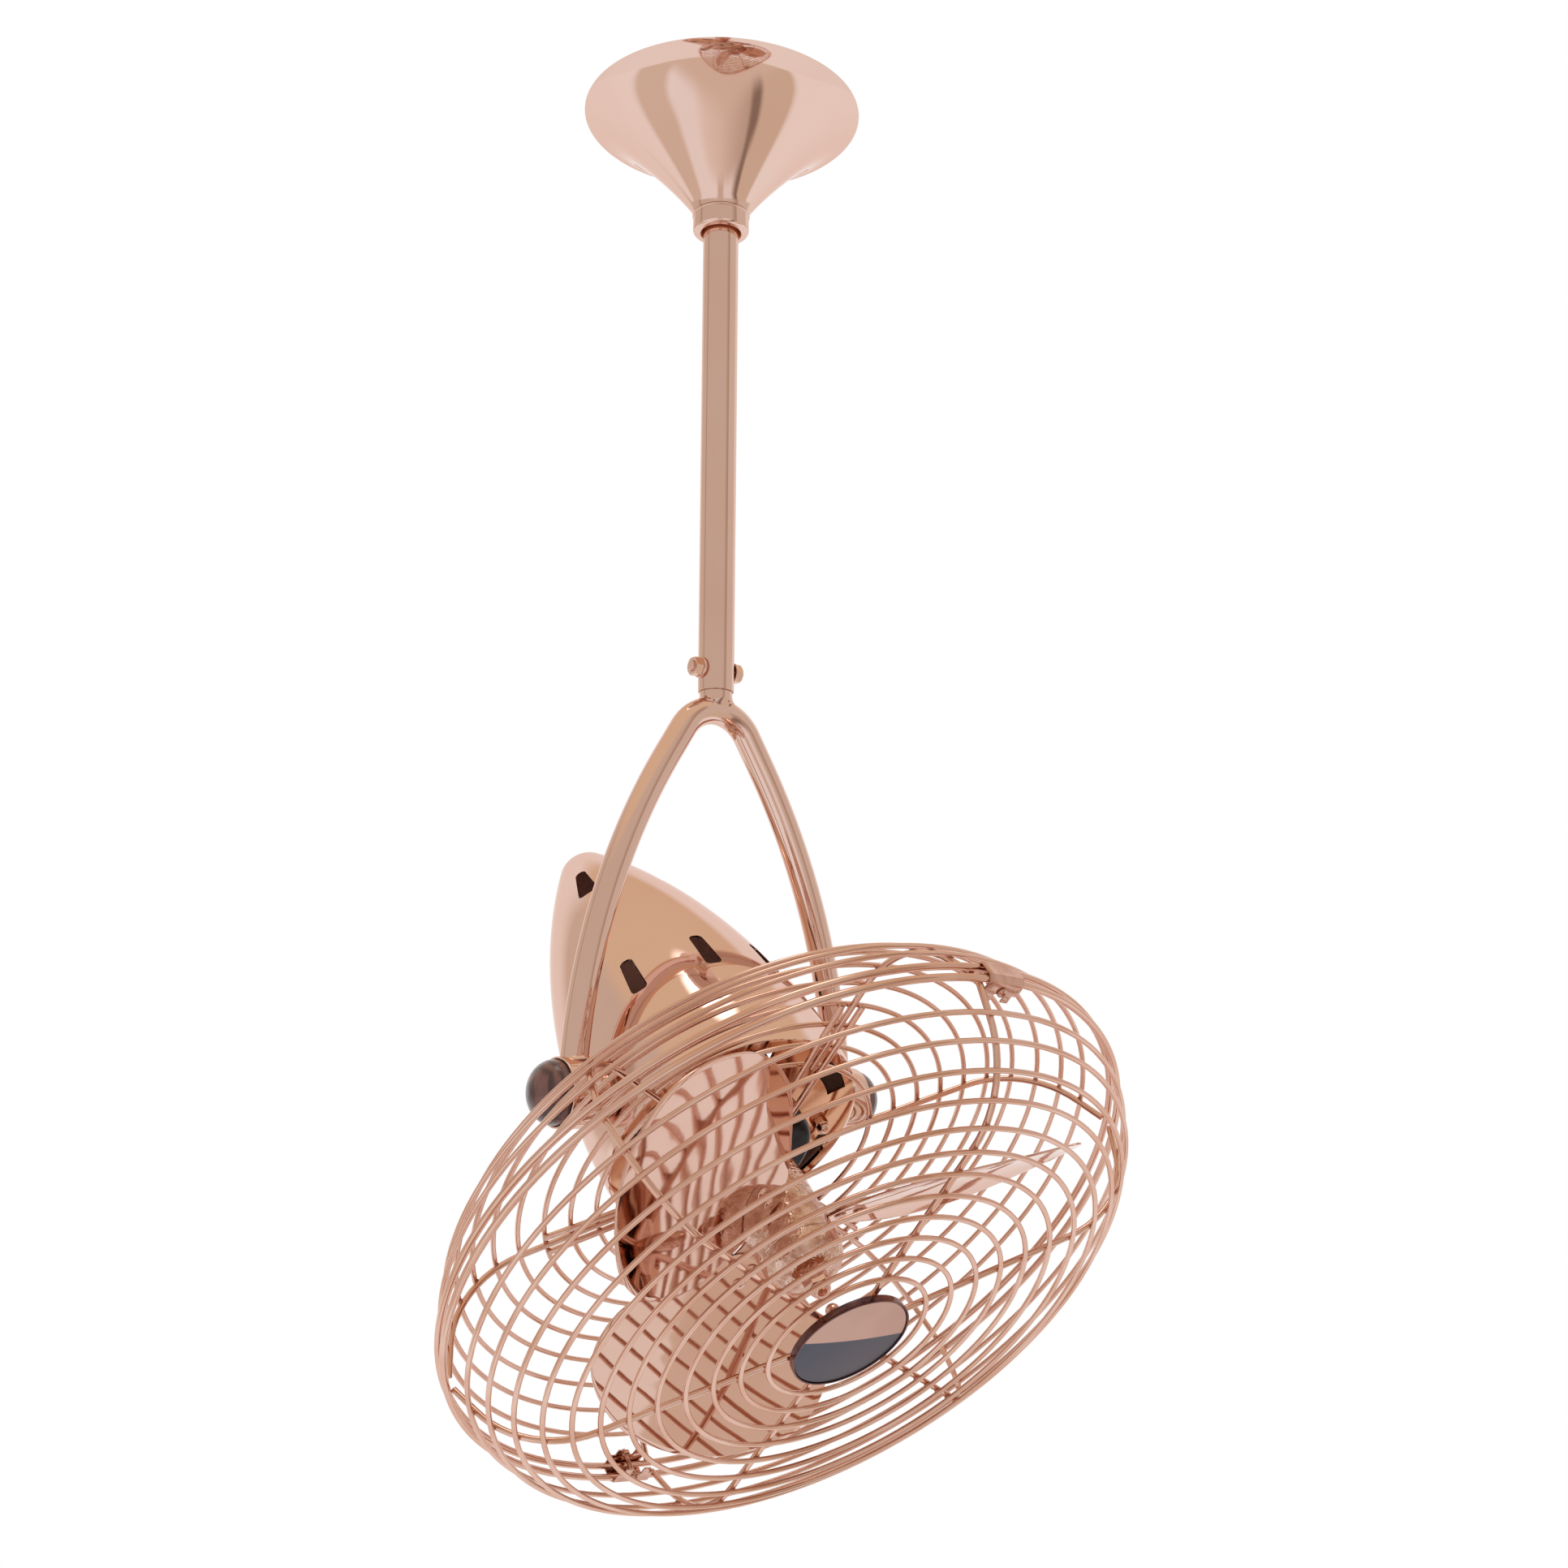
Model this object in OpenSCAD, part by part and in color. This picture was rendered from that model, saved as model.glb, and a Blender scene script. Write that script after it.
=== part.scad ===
// Directional ceiling fan: a caged head tilts in a yoke that hangs from a down rod.
// Origin: the ceiling plane on the rod's axis, +Z up. At rest the cage faces -Y and down.
// Head parts are drawn in the head's own frame: X along the pivot, Z along the fan axis,
// both through the pivot point. A "station" is a height along that Z.

/* [Ceiling bracket] */
// Length of the plate that is screwed to the ceiling
plate_l = 110; // [104:1:130]
// Width of the plate
plate_w = 40; // [32:1:50]
// Thickness of the plate and of the strap that cradles the ball
plate_t = 2; // [1.5:0.1:3]
// Distance between the two ceiling screw holes
mount_spacing = 90; // [84:1:94]
// Diameter of the ceiling screw holes
mount_hole_d = 5.5; // [4:0.1:6.5]
// Depth of the cradle below the ceiling
cradle_depth = 38; // [36:0.5:40]
// Width of the cradle's two legs
strap_w = 20; // [14:1:24]
// Radius of the hanger ball
ball_r = 18; // [16:0.5:19]
// Height of the terminal block
terminal_h = 10; // [8:0.5:14]

/* [Down rod] */
// Outside diameter of the rod
rod_d = 21.3; // [20:0.1:22.5]
// Wall of the rod
rod_wall = 1; // [0.8:0.1:1.6]
// Depth of the rod's lower end below the ceiling
rod_drop = 355.2; // [300:0.1:500]
// Height of the cross bolt above the rod's lower end
bolt_rise = 14.2; // [12:0.1:18]
// Diameter of the cross bolt
bolt_d = 6; // [5:0.5:7]
// Diameter of the cross bolt's washers
washer_d = 12.5; // [12:0.1:15]
// Thickness of the cross bolt's washers
washer_t = 1.6; // [1:0.1:2]
// Width across flats of the cross bolt's head and nut
nut_af = 10; // [9:0.5:11]
// Thickness of the cross bolt's nut
nut_t = 5; // [4:0.5:6]
// Thickness of the cross bolt's head
bolt_head_t = 4; // [3:0.5:5]

/* [Canopy] */
// Radius of the canopy's rim at the ceiling
canopy_r = 82.8; // [76:0.1:100]
// Height of the canopy
canopy_h = 58; // [56:0.5:70]
// Wall of the canopy
canopy_wall = 1.2; // [0.8:0.1:2]
// Gap between the rim and the ceiling
canopy_gap = 0.3; // [0.1:0.1:1]
// Radius of the canopy's neck
neck_r = 18.3; // [17.9:0.1:22]
// Slope of the flare at the rim, in degrees from the ceiling
rim_slope = 15; // [8:1:25]
// Slope of the flare at the neck, in degrees from the ceiling
neck_slope = 55; // [50:1:65]
// Diameter of the collar under the canopy
collar_d = 33.6; // [32:0.1:34]
// Height of the collar that shows
collar_h = 19; // [15:0.5:25]
// Diameter of the collar's open lower end
collar_mouth_d = 24; // [23:0.1:26]
// Radius of the collar's rounded lower edge
collar_edge_r = 3; // [2:0.1:3.5]

/* [Yoke] */
// Diameter of the yoke's bent tube
yoke_tube_d = 16; // [14:0.1:17]
// Gap between the rod's end and the yoke's crown
crown_gap = 2.3; // [1:0.1:5]
// Height of the crown's centre line above the pivot
yoke_drop = 227; // [226:0.5:235]
// Bend radius of the crown
crown_r = 27.3; // [24:0.1:30]
// Turn of the crown to each side, in degrees
crown_turn = 57.8; // [56:0.1:59]
// Bend radius of the arms
arm_r = 399; // [385:1:410]
// Length of the neck tube above the crown
neck_l = 50.5; // [40:0.5:60]
// Width of a pivot collar
pivot_collar_w = 20; // [18:0.5:24]
// Radius of a pivot collar
pivot_collar_r = 19.8; // [19:0.1:23]
// Depth of the recess that takes the knob
recess_d = 3; // [2:0.1:4]

/* [Head housing] */
// Tilt of the fan axis below the horizontal at rest, in degrees
tilt = 45.6; // [0:0.1:90]
// Greatest radius of the front band
band_r = 78.3; // [76:0.1:79]
// Station of the band's greatest radius
band_apex = 8; // [4:0.5:12]
// Barrel radius of the band's side
band_barrel = 305; // [250:5:400]
// Station of the band's front edge
band_front = 33; // [30:0.5:36]
// Station of the seam between band and tail
seam = -31; // [-34:0.5:-28]
// Wall of the band
band_wall = 2; // [1.6:0.1:2.4]
// Step in radius from the band down to the tail
seam_step = 1.3; // [1:0.1:2]
// Curve radius of the tail's side
tail_curve = 453; // [440:1:460]
// Slope of the tail's side at the seam, in degrees
tail_slope = 6.6; // [6.2:0.1:7]
// Slope of the tail's side where the round nose starts, in degrees
nose_slope = 30; // [28:0.5:32]
// Wall of the tail
tail_wall = 1.2; // [0.8:0.1:1.6]
// Number of vents in the row by the seam
vents_n = 10; // [6:1:12]
// Number of vents in the row by the nose
nose_vents_n = 5; // [3:1:6]
// Length of a vent of the seam row
vents_l = 28.5; // [22:0.5:30]
// Width of a vent of the seam row at the seam's side
vents_w = 10.6; // [8:0.1:12]
// Angle of the first vent of the seam row
vents_turn = 104; // [0:1:359]
// Length of a vent of the nose row
nose_vents_l = 32; // [24:0.5:35]
// Width of a vent of the nose row at the seam's side
nose_vents_w = 14; // [10:0.1:16]
// Angle of the first vent of the nose row
nose_vents_turn = 141; // [0:1:359]
// Thickness of the front plate
front_plate_t = 2; // [1.5:0.1:3]
// Number of vents in the front plate
plate_vents_n = 6; // [3:1:6]

/* [Pivot] */
// Gap between the band's greatest radius and a pivot collar's inner face
pivot_gap = 6.2; // [5.7:0.1:11]
// Diameter of the pivot studs
stud_d = 8; // [6:0.5:9]
// Thickness of the pivot's plastic washers
pivot_washer_t = 1.4; // [1:0.1:2]
// Radius of a knob
knob_r = 18.2; // [16:0.1:18.6]
// Height of a knob
knob_h = 18.5; // [16:0.1:24]

/* [Motor] */
// Outside radius of the motor's two bells
motor_r = 40; // [38:0.5:43]
// Wall of the bells
bell_wall = 2.5; // [2:0.1:3]
// Station of the motor's rear face
motor_rear = -36; // [-40:0.5:-34]
// Station where the two bells meet
bell_split = 2; // [0:0.5:5]
// Length of the stator and the rotor
core_l = 30; // [24:1:34]
// Radius of the rotor's core
core_r = 22; // [18:0.5:24]
// Air gap between rotor and stator
air_gap = 0.4; // [0.3:0.1:0.8]
// Diameter of the shaft
shaft_d = 10; // [8:0.5:12]
// Outside diameter of the bearings
bearing_d = 30; // [26:1:32]
// Width of the bearings
bearing_w = 9; // [7:0.5:11]
// Diameter of the three long motor bolts
motor_bolt_d = 3.8; // [3:0.1:4]
// Radius of the capacitor
capacitor_r = 14; // [10:0.5:18]
// Length of the capacitor
capacitor_l = 40; // [30:1:60]

/* [Guard] */
// Diameter of the ring wires
ring_d = 2.9; // [2.4:0.1:3.4]
// Diameter of the radial wires and the strut rods
radial_d = 3.6; // [3:0.1:4.4]
// Diameter of the two rim wires
rim_d = 4; // [3.4:0.1:5]
// Radius of the rims
rim_r = 199; // [196:0.5:205]
// Distance between the two rims
rim_gap = 8; // [6:0.1:10]
// Station halfway between the rims
guard_mid = 114.5; // [112:0.5:118]
// Height of the innermost front ring over that middle
face_rise = 63.1; // [60:0.1:66]
// Radius of the innermost front ring
first_ring_r = 46; // [42:0.5:50]
// Slope of the guard's face, in degrees
face_slope = 1.2; // [0.5:0.1:3]
// Number of rings on the face
face_rings = 7; // [5:1:7]
// How far the rims stand out past the shoulder's rings
rim_step = 3.4; // [2:0.1:6]
// Number of rings on the shoulder
shoulder_rings = 5; // [3:1:5]
// Distance between the shoulder's rings
shoulder_pitch = 14.5; // [14:0.05:15]
// Curve radius of the shoulder
shoulder_r = 60; // [57:0.5:64]
// Number of radial wires on each guard
radials_n = 6; // [3:1:8]
// Face rings that the rear guard leaves out round the motor
rear_open_rings = 2; // [1:1:3]
// Half the distance between the two rods of a strut, at the rim side
strut_half = 7; // [6:0.5:9]
// Length of a guard clip along the rims
clip_l = 24.6; // [18:0.1:26]
// Angle of the upper guard clip
clip_turn = 85.7; // [60:0.1:86]
// Radius of the badge
badge_r = 32.8; // [28:0.1:40]
// Thickness of the badge
badge_t = 3; // [2:0.1:4]

/* [Rotor] */
// Radius of the hub
hub_r = 23; // [20:0.5:26]
// Station of the hub's rear face
hub_rear = 61; // [60:0.5:66]
// Length of the hub
hub_l = 58; // [52:1:66]
// Height of the cap over the hub
cap_h = 19; // [14:1:24]
// Angle of the first blade
blade_turn = 17; // [0:1:119]
// Pitch of the blades, in degrees
blade_pitch = 25; // [20:1:30]
// Gap between a blade's tip and the rims' radius
blade_gap = 29; // [22:1:39]
// Width of a blade ahead of its middle line
blade_front_w = 90; // [80:1:94]
// Width of a blade behind its middle line
blade_rear_w = 43; // [38:1:47]
// Camber radius of the blades
blade_camber = 450; // [300:5:600]
// Thickness of the blades
blade_t = 1.2; // [1:0.1:2]

/* [Hidden] */

copper = "#cf9377";
dark_copper = "#9c5f45";
steel = "#9fa3a6";
brass = "#c9a24b";
black = "#1d1d20";
wood = "#3a2429";
plastic = "#e8e4da";
winding = "#b5622e";

$fn = 96;
eps = 0.01;
// Clearance of parts that are pushed together and stay
slip = 0.05;
// Clearance of parts that turn or slide on each other
running = 0.05;
// How deep welded wires sink into each other
weld = 0.4;
// Tubes that run on into each other stop short by this much inside a ball that joins them
joint_gap = 0.1;
// How much larger than the tube that ball is
joint_over = 0.03;

rod_r = rod_d / 2;
rod_bore_r = rod_r - rod_wall;
pin_r = 2.5;
ball_flat = ball_r - 4;
seat_r = ball_r - 3;
ball_drop = cradle_depth - plate_t - sqrt(ball_r * ball_r - seat_r * seat_r);
leg_x = ball_r + 4;
bolt_drop = rod_drop - bolt_rise;
bolt_hole_r = bolt_d / 2 + 0.2;

pivot_half = band_r + pivot_gap;
crown_drop = rod_drop + crown_gap + yoke_tube_d / 2;
pivot_drop = crown_drop + yoke_drop;
tube_r = yoke_tube_d / 2;
neck_tube_r = rod_bore_r - 0.1;
neck_tube_wall = 1.5;
collar_mid = pivot_half + pivot_collar_w / 2;
pivot_outer = pivot_half + pivot_collar_w;
shoulder_run = (collar_mid - arm_r * (1 - sin(crown_turn)) - crown_r * sin(crown_turn)) / cos(crown_turn);
// Where the crown's bend ends and where the straight run ends, as [across, below the crown]
bend_end = [crown_r * sin(crown_turn), crown_r * (1 - cos(crown_turn))];
run_end = bend_end + shoulder_run * [cos(crown_turn), sin(crown_turn)];
recess_r = knob_r + 0.4;
stud_r = stud_d / 2;
pivot_bore_r = stud_r + running;
knob_base = pivot_outer - recess_d + 0.5;
boss_r = 13;
boss_in = band_r - 4.3;
boss_out = pivot_half - pivot_washer_t - 0.1;
stud_head_t = 3;
stud_out = knob_base + knob_h - 4;
insert_r = 7;
insert_l = knob_h - 4;

function band_outer(a) = band_r - band_barrel + sqrt(pow(band_barrel, 2) - pow(a - band_apex, 2));
seam_r = band_outer(seam) - seam_step;
tail_c = [seam_r - tail_curve * cos(tail_slope), seam + tail_curve * sin(tail_slope)];
function tail_outer(a, inset = 0) = tail_c[0] + sqrt(pow(tail_curve - inset, 2) - pow(a - tail_c[1], 2));
nose_start = tail_c + tail_curve * [cos(nose_slope), -sin(nose_slope)];
nose_r = nose_start[0] / cos(nose_slope);
nose_c = nose_start[1] + nose_r * sin(nose_slope);
// How far the vents of the seam row stay back from the seam, and those of the nose row from the tip
vents_back = 3.5;
nose_vents_back = 38.1;
vents_from = seam - vents_back - vents_l;
nose_vents_from = nose_c - nose_r + nose_vents_back;
spigot_r = band_outer(seam) - band_wall - slip;
spigot_l = 6;
plate_r = band_outer(band_front) - band_wall - slip;
plate_back = band_front - front_plate_t;
ledge_w = 2.6;
ledge_t = 3;
tie_r = 55;
tie_d = 4;
tie_turn = 15;
tie_back = -72;
lug_t = 6;
plate_vent_in = 59;
plate_vent_out = 70.5;
plate_vent_turn = 50;
plate_vent_span = 26;

// Guard outline as [radius, rise over the middle plane], ring by ring
face_dir = [cos(face_slope), -sin(face_slope)];
face_end_r = rim_r - rim_step - shoulder_r * (1 - sin(face_slope));
face_pitch = (face_end_r - first_ring_r) / (face_rings - 1) / cos(face_slope);
function face_point(i) = [first_ring_r, face_rise] + i * face_pitch * face_dir;
face_end = face_point(face_rings - 1);
shoulder_c = face_end - shoulder_r * [sin(face_slope), cos(face_slope)];
shoulder_step = shoulder_pitch / shoulder_r * 180 / PI;
function shoulder_point(i, r = shoulder_r) = shoulder_c
    + r * [sin(face_slope + i * shoulder_step), cos(face_slope + i * shoulder_step)];
function ring_point(i) = i < face_rings ? face_point(i) : shoulder_point(i - face_rings + 1);
rings_n = face_rings + shoulder_rings;
wire_inset = (ring_d + radial_d) / 2 - weld;
rim_point = [rim_r, rim_gap / 2];
rear_edge_ring = ring_point(rear_open_rings);
strut_ring = ring_point(rear_open_rings + 3);
strut_mid = guard_mid - strut_ring[1] + (ring_d + radial_d) / 2 - weld;
tab_t = 2;
tab_top = strut_mid - radial_d / 2 + weld;
motor_front = tab_top - tab_t;
tab_inner = 29;
rod_inner = 44;

motor_bolt_r = motor_r - bell_wall - motor_bolt_d / 2 - 0.6;
motor_bolts_turn = 90;
bell_bore_r = motor_r - bell_wall;
bearing_r = bearing_d / 2;
shaft_r = shaft_d / 2;
core_mid = 5;
core_front = core_mid + core_l / 2;
core_rear = core_mid - core_l / 2;
winding_l = 9;
winding_out = motor_bolt_r - motor_bolt_d / 2 - 1;
bell_flange_t = 2;
cap_top = hub_rear + hub_l + cap_h;
shaft_top = cap_top + 5;
hub_nut_af = 13;
hub_nut_t = 6;

radial_turn = 30;
// Where the front radials start, and the disc that they are welded to
radial_start = 8;
hub_disc_r = 14;
hub_disc_t = 2.2;
disc_mid = guard_mid + face_rise - wire_inset + (first_ring_r - hub_disc_r) * sin(face_slope);
badge_back = disc_mid + radial_d / 2 + 0.1;
badge_plate_t = 1.2;
badge_face = badge_back + badge_plate_t + badge_t;
badge_screw_d = 5;
badge_nut_face = badge_back - radial_d - 12;

blade_mid = 101;
blade_reach = rim_r - blade_gap;
blade_root = hub_r + 4;
pad_t = 3;
pad_reach = blade_root + 25;
pad_w = 26;
pad_offset = 2;
blade_screw_d = 4;

// Points of an arc round a centre, from one angle to another
function arc(c, r, from, to, n) = [for (i = [0 : n]) let (t = from + (to - from) * i / n)
    c + r * [cos(t), sin(t)]];

// Points of a cubic curve with two end points and two handles
function curve(p, q, r, s, n) = [for (i = [0 : n]) let (t = i / n, k = 1 - t)
    k * k * k * p + 3 * k * k * t * q + 3 * k * t * t * r + t * t * t * s];

// Closed smooth outline through a few points
function smooth(p, n) = [for (i = [0 : len(p) - 1], j = [0 : n - 1])
    let (m = len(p), a = p[(i + m - 1) % m], b = p[i], c = p[(i + 1) % m], d = p[(i + 2) % m], t = j / n)
    0.5 * (2 * b + (c - a) * t + (2 * a - 5 * b + 4 * c - d) * t * t + (3 * b - a - 3 * c + d) * t * t * t)];

module ring(r_out, r_in, from, to) {
    translate([0, 0, from])
        difference() {
            cylinder(r = r_out, h = to - from);
            translate([0, 0, -1]) cylinder(r = r_in, h = to - from + 2);
        }
}

module along_x(from, r, l) {
    translate([from, 0, 0]) rotate([0, 90, 0]) cylinder(r = r, h = l);
}

module hex_nut(af, t, bore_r) {
    difference() {
        cylinder(d = af / cos(30), h = t, $fn = 6);
        translate([0, 0, -1]) cylinder(r = bore_r, h = t + 2);
    }
}

module in_head() {
    translate([0, 0, -pivot_drop]) rotate([90 + tilt, 0, 0]) children();
}

module at_pivot(side) {
    translate([0, 0, -pivot_drop]) mirror([side < 0 ? 1 : 0, 0, 0]) children();
}

module around(n, first = 0) {
    for (i = [0 : n - 1]) rotate([0, 0, first + i * 360 / n]) children();
}

// Ceiling bracket and down rod

module ceiling_bracket() {
    color(steel) difference() {
        union() {
            translate([-plate_l / 2, -plate_w / 2, -plate_t]) cube([plate_l, plate_w, plate_t]);
            for (s = [-1, 1])
                translate([s * leg_x - plate_t / 2, -strap_w / 2, -cradle_depth])
                    cube([plate_t, strap_w, cradle_depth - eps]);
            translate([0, 0, -cradle_depth]) cylinder(r = leg_x + plate_t / 2, h = plate_t);
        }
        for (s = [-1, 1])
            translate([s * mount_spacing / 2, 0, -plate_t - 1]) cylinder(d = mount_hole_d, h = plate_t + 2);
        translate([0, 0, -ball_drop]) sphere(r = ball_r + slip);
        translate([0, 0, -plate_t - 1]) cylinder(r = rod_r, h = plate_t + 2);
    }
}

terminal_x = leg_x + plate_t / 2 + 1;
terminal_l = 12;
terminal_w = 26;
terminal_pitch = 8;

module terminal_block() {
    color(plastic) difference() {
        translate([terminal_x, -terminal_w / 2, -plate_t - terminal_h])
            cube([terminal_l, terminal_w, terminal_h]);
        for (i = [-1 : 1])
            translate([terminal_x + terminal_l / 2, i * terminal_pitch, -plate_t - terminal_h - 1])
                cylinder(r = 2, h = 6);
    }
}

module terminal_screws() {
    color(brass)
        for (i = [-1 : 1])
            translate([terminal_x + terminal_l / 2, i * terminal_pitch, -plate_t - terminal_h + 1])
                cylinder(r = 2 - slip, h = 4);
}

module hanger_ball() {
    color(black) difference() {
        translate([0, 0, -ball_drop]) intersection() {
            sphere(r = ball_r);
            translate([0, 0, -ball_flat]) cylinder(r = ball_r + 1, h = 2 * ball_flat);
        }
        translate([0, 0, -ball_drop - ball_r]) cylinder(r = rod_r + slip, h = 2 * ball_r);
        translate([0, 0, -ball_drop]) along_x(-ball_r - 1, pin_r + slip, 2 * ball_r + 2);
    }
}

module hanger_pin() {
    pin_half = ball_r - 2;
    color(steel) translate([0, 0, -ball_drop]) along_x(-pin_half, pin_r, 2 * pin_half);
}

module downrod() {
    top = -ball_drop + ball_flat;
    color(copper) difference() {
        ring(rod_r, rod_bore_r, -rod_drop, top);
        translate([0, 0, -ball_drop]) along_x(-rod_d, pin_r + slip, 2 * rod_d);
        translate([0, 0, -bolt_drop]) along_x(-rod_d, bolt_hole_r, 2 * rod_d);
    }
}

module crown_bend(r) {
    translate([0, 0, -crown_drop - crown_r]) rotate([90, 0, 0])
        rotate([0, 0, 90 - crown_turn]) rotate_extrude(angle = 2 * crown_turn)
            translate([crown_r, 0]) circle(r = r);
}

module yoke_neck() {
    color(copper) difference() {
        ring(neck_tube_r, neck_tube_r - neck_tube_wall, -crown_drop, -crown_drop + neck_l);
        translate([0, 0, -bolt_drop]) along_x(-rod_d, bolt_hole_r, 2 * rod_d);
        crown_bend(tube_r);
    }
}

module yoke_fork() {
    color(copper) difference() {
        union() {
            crown_bend(tube_r);
            for (s = [0, 1]) mirror([s, 0, 0]) {
                for (p = [bend_end, run_end]) joint_ball([p[0], -crown_drop - p[1]], yoke_tube_d);
                translate([bend_end[0], 0, -crown_drop - bend_end[1]]) rotate([0, 90 + crown_turn, 0])
                    translate([0, 0, joint_gap]) cylinder(r = tube_r, h = shoulder_run - 2 * joint_gap);
                translate([run_end[0], 0, -crown_drop - run_end[1]])
                    translate([-arm_r * sin(crown_turn), 0, -arm_r * cos(crown_turn)])
                        rotate([90, 0, 0]) rotate_extrude(angle = 90 - crown_turn, $fn = 360)
                            translate([arm_r, 0]) circle(r = tube_r, $fn = 96);
            }
        }
        for (s = [-1, 1]) at_pivot(s) {
            along_x(pivot_half - 5, pivot_collar_r, pivot_collar_w + 10);
            translate([0, -yoke_tube_d, -arm_r]) cube([2 * pivot_half, 2 * yoke_tube_d, arm_r]);
        }
    }
}

module pivot_collars() {
    color(copper) for (s = [-1, 1]) at_pivot(s) difference() {
        along_x(pivot_half, pivot_collar_r, pivot_collar_w);
        along_x(pivot_outer - recess_d, recess_r, recess_d + 1);
        along_x(pivot_half - 1, pivot_bore_r, pivot_collar_w);
    }
}

washer_in = rod_r + slip;
washer_out = washer_in + washer_t;
bolt_end = washer_out + nut_t + 1.8;

module yoke_bolt() {
    color(steel) translate([0, 0, -bolt_drop]) {
        along_x(-bolt_end, bolt_d / 2, bolt_end + washer_out + eps);
        translate([washer_out, 0, 0]) rotate([0, 90, 0])
            cylinder(d = nut_af / cos(30), h = bolt_head_t, $fn = 6);
    }
}

module yoke_bolt_nut() {
    color(steel) translate([-washer_out - nut_t, 0, -bolt_drop]) rotate([0, 90, 0])
        hex_nut(nut_af, nut_t, bolt_d / 2 + slip);
}

module yoke_bolt_washers() {
    color(steel) translate([0, 0, -bolt_drop]) for (s = [0, 1]) mirror([s, 0, 0])
        rotate([0, 90, 0]) ring(washer_d / 2, bolt_hole_r, washer_in, washer_out);
}

// Canopy

rim_pull = 18;
neck_pull = 17;
canopy_top = -canopy_gap;
neck_z = canopy_top - canopy_h + canopy_gap;
lip_r = collar_d / 2 + slip;
// Where the canopy's inside meets its lip
lip_out = neck_r + canopy_wall * (cos(neck_slope) - 1) / sin(neck_slope);
// Outside radius of the rubber ring that grips the rod, and radius of the screw that presses on it
grip_r = rod_r + 2.2;
grub_screw_r = 1.5;

canopy_p = [canopy_r, canopy_top];
canopy_q = canopy_p - rim_pull * [cos(rim_slope), sin(rim_slope)];
canopy_s = [neck_r, neck_z];
canopy_t = canopy_s + neck_pull * [cos(neck_slope), sin(neck_slope)];
canopy_n = 20;

// Direction across the canopy's wall, towards its inside, at each point of the outline
function canopy_in(t) = let (k = 1 - t,
    d = k * k * (canopy_q - canopy_p) + 2 * k * t * (canopy_t - canopy_q) + t * t * (canopy_s - canopy_t))
    [d[1], -d[0]] / norm(d);

module canopy() {
    outer = curve(canopy_p, canopy_q, canopy_t, canopy_s, canopy_n);
    inner = [for (i = [canopy_n : -1 : 0]) let (p = outer[i] + canopy_wall * canopy_in(i / canopy_n))
        if (p[1] > neck_z + canopy_wall && p[1] < canopy_top) p];
    color(copper) rotate_extrude() polygon(concat(outer,
        [[lip_r, neck_z], [lip_r, neck_z + canopy_wall], [lip_out, neck_z + canopy_wall]],
        inner, [[inner[len(inner) - 1][0], canopy_top]]));
}

module canopy_collar() {
    bottom = neck_z - collar_h;
    top = neck_z + canopy_wall;
    flange_r = lip_out - 0.15;
    mouth_r = collar_mouth_d / 2;
    color(copper) difference() {
        rotate_extrude() polygon(concat(
            arc([collar_d / 2 - collar_edge_r, bottom + collar_edge_r], collar_edge_r, -90, 0, 6),
            [[collar_d / 2, top + slip], [flange_r, top + slip], [flange_r, top + 1.5],
             [grip_r, top + 1.5], [grip_r, bottom + collar_h / 2], [mouth_r, bottom + collar_h / 2],
             [mouth_r, bottom]]));
        at_grub() along_x(grip_r - 1, grub_screw_r + slip, collar_d);
    }
}

module canopy_grip_ring() {
    color(black) ring(grip_r - slip, rod_r + running, neck_z - collar_h / 2, neck_z + canopy_wall);
}

module at_grub() {
    translate([0, 0, neck_z - collar_h / 4]) rotate([0, 0, 60]) children();
}

module collar_grub_screw() {
    color(steel) at_grub() along_x(grip_r, grub_screw_r, collar_d / 2 - grip_r + 0.4);
}

// Head housing

module tail_profile() {
    outer = arc(tail_c, tail_curve, -tail_slope, -nose_slope, 24);
    nose = arc([0, nose_c], nose_r, -nose_slope, -90, 8);
    nose_in = arc([0, nose_c], nose_r - tail_wall, -90, -nose_slope, 8);
    inner = arc(tail_c, tail_curve - tail_wall, -nose_slope, -tail_slope - 0.8, 24);
    polygon(concat([[spigot_r - tail_wall, seam + spigot_l], [spigot_r, seam + spigot_l], [spigot_r, seam]],
        outer, nose, nose_in, inner, [[spigot_r - tail_wall, seam - 3]]));
}

// Rounded trapezoid that is cut outwards through the tail's side
module vent(from, to, w_from, w_to, r_in, r_out) {
    corner = 1.8;
    rotate([90, 0, 90]) translate([0, 0, r_in]) linear_extrude(r_out - r_in)
        polygon(concat(
            arc([w_to / 2 - corner, to - corner], corner, 0, 90, 4),
            arc([-w_to / 2 + corner, to - corner], corner, 90, 180, 4),
            arc([-w_from / 2 + corner, from + corner], corner, 180, 270, 4),
            arc([w_from / 2 - corner, from + corner], corner, 270, 360, 4)));
}

module tail_shell() {
    lug_in = tie_r - 6;
    lug_out = tail_outer(tie_back + lug_t / 2) - tail_wall / 2;
    color(copper) in_head() difference() {
        union() {
            rotate_extrude() tail_profile();
            around(3, tie_turn) translate([lug_in, -6, tie_back]) cube([lug_out - lug_in - 1, 12, lug_t]);
        }
        around(vents_n, vents_turn)
            vent(vents_from, vents_from + vents_l, vents_w * 0.76, vents_w, seam_r - 16, seam_r + 9);
        around(nose_vents_n, nose_vents_turn)
            vent(nose_vents_from, nose_vents_from + nose_vents_l, nose_vents_w * 0.46, nose_vents_w,
                nose_r * 0.6, seam_r);
        around(3, tie_turn) translate([tie_r, 0, tie_back - 1]) cylinder(r = tie_d / 2 + slip, h = lug_t + 2);
    }
}

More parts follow.
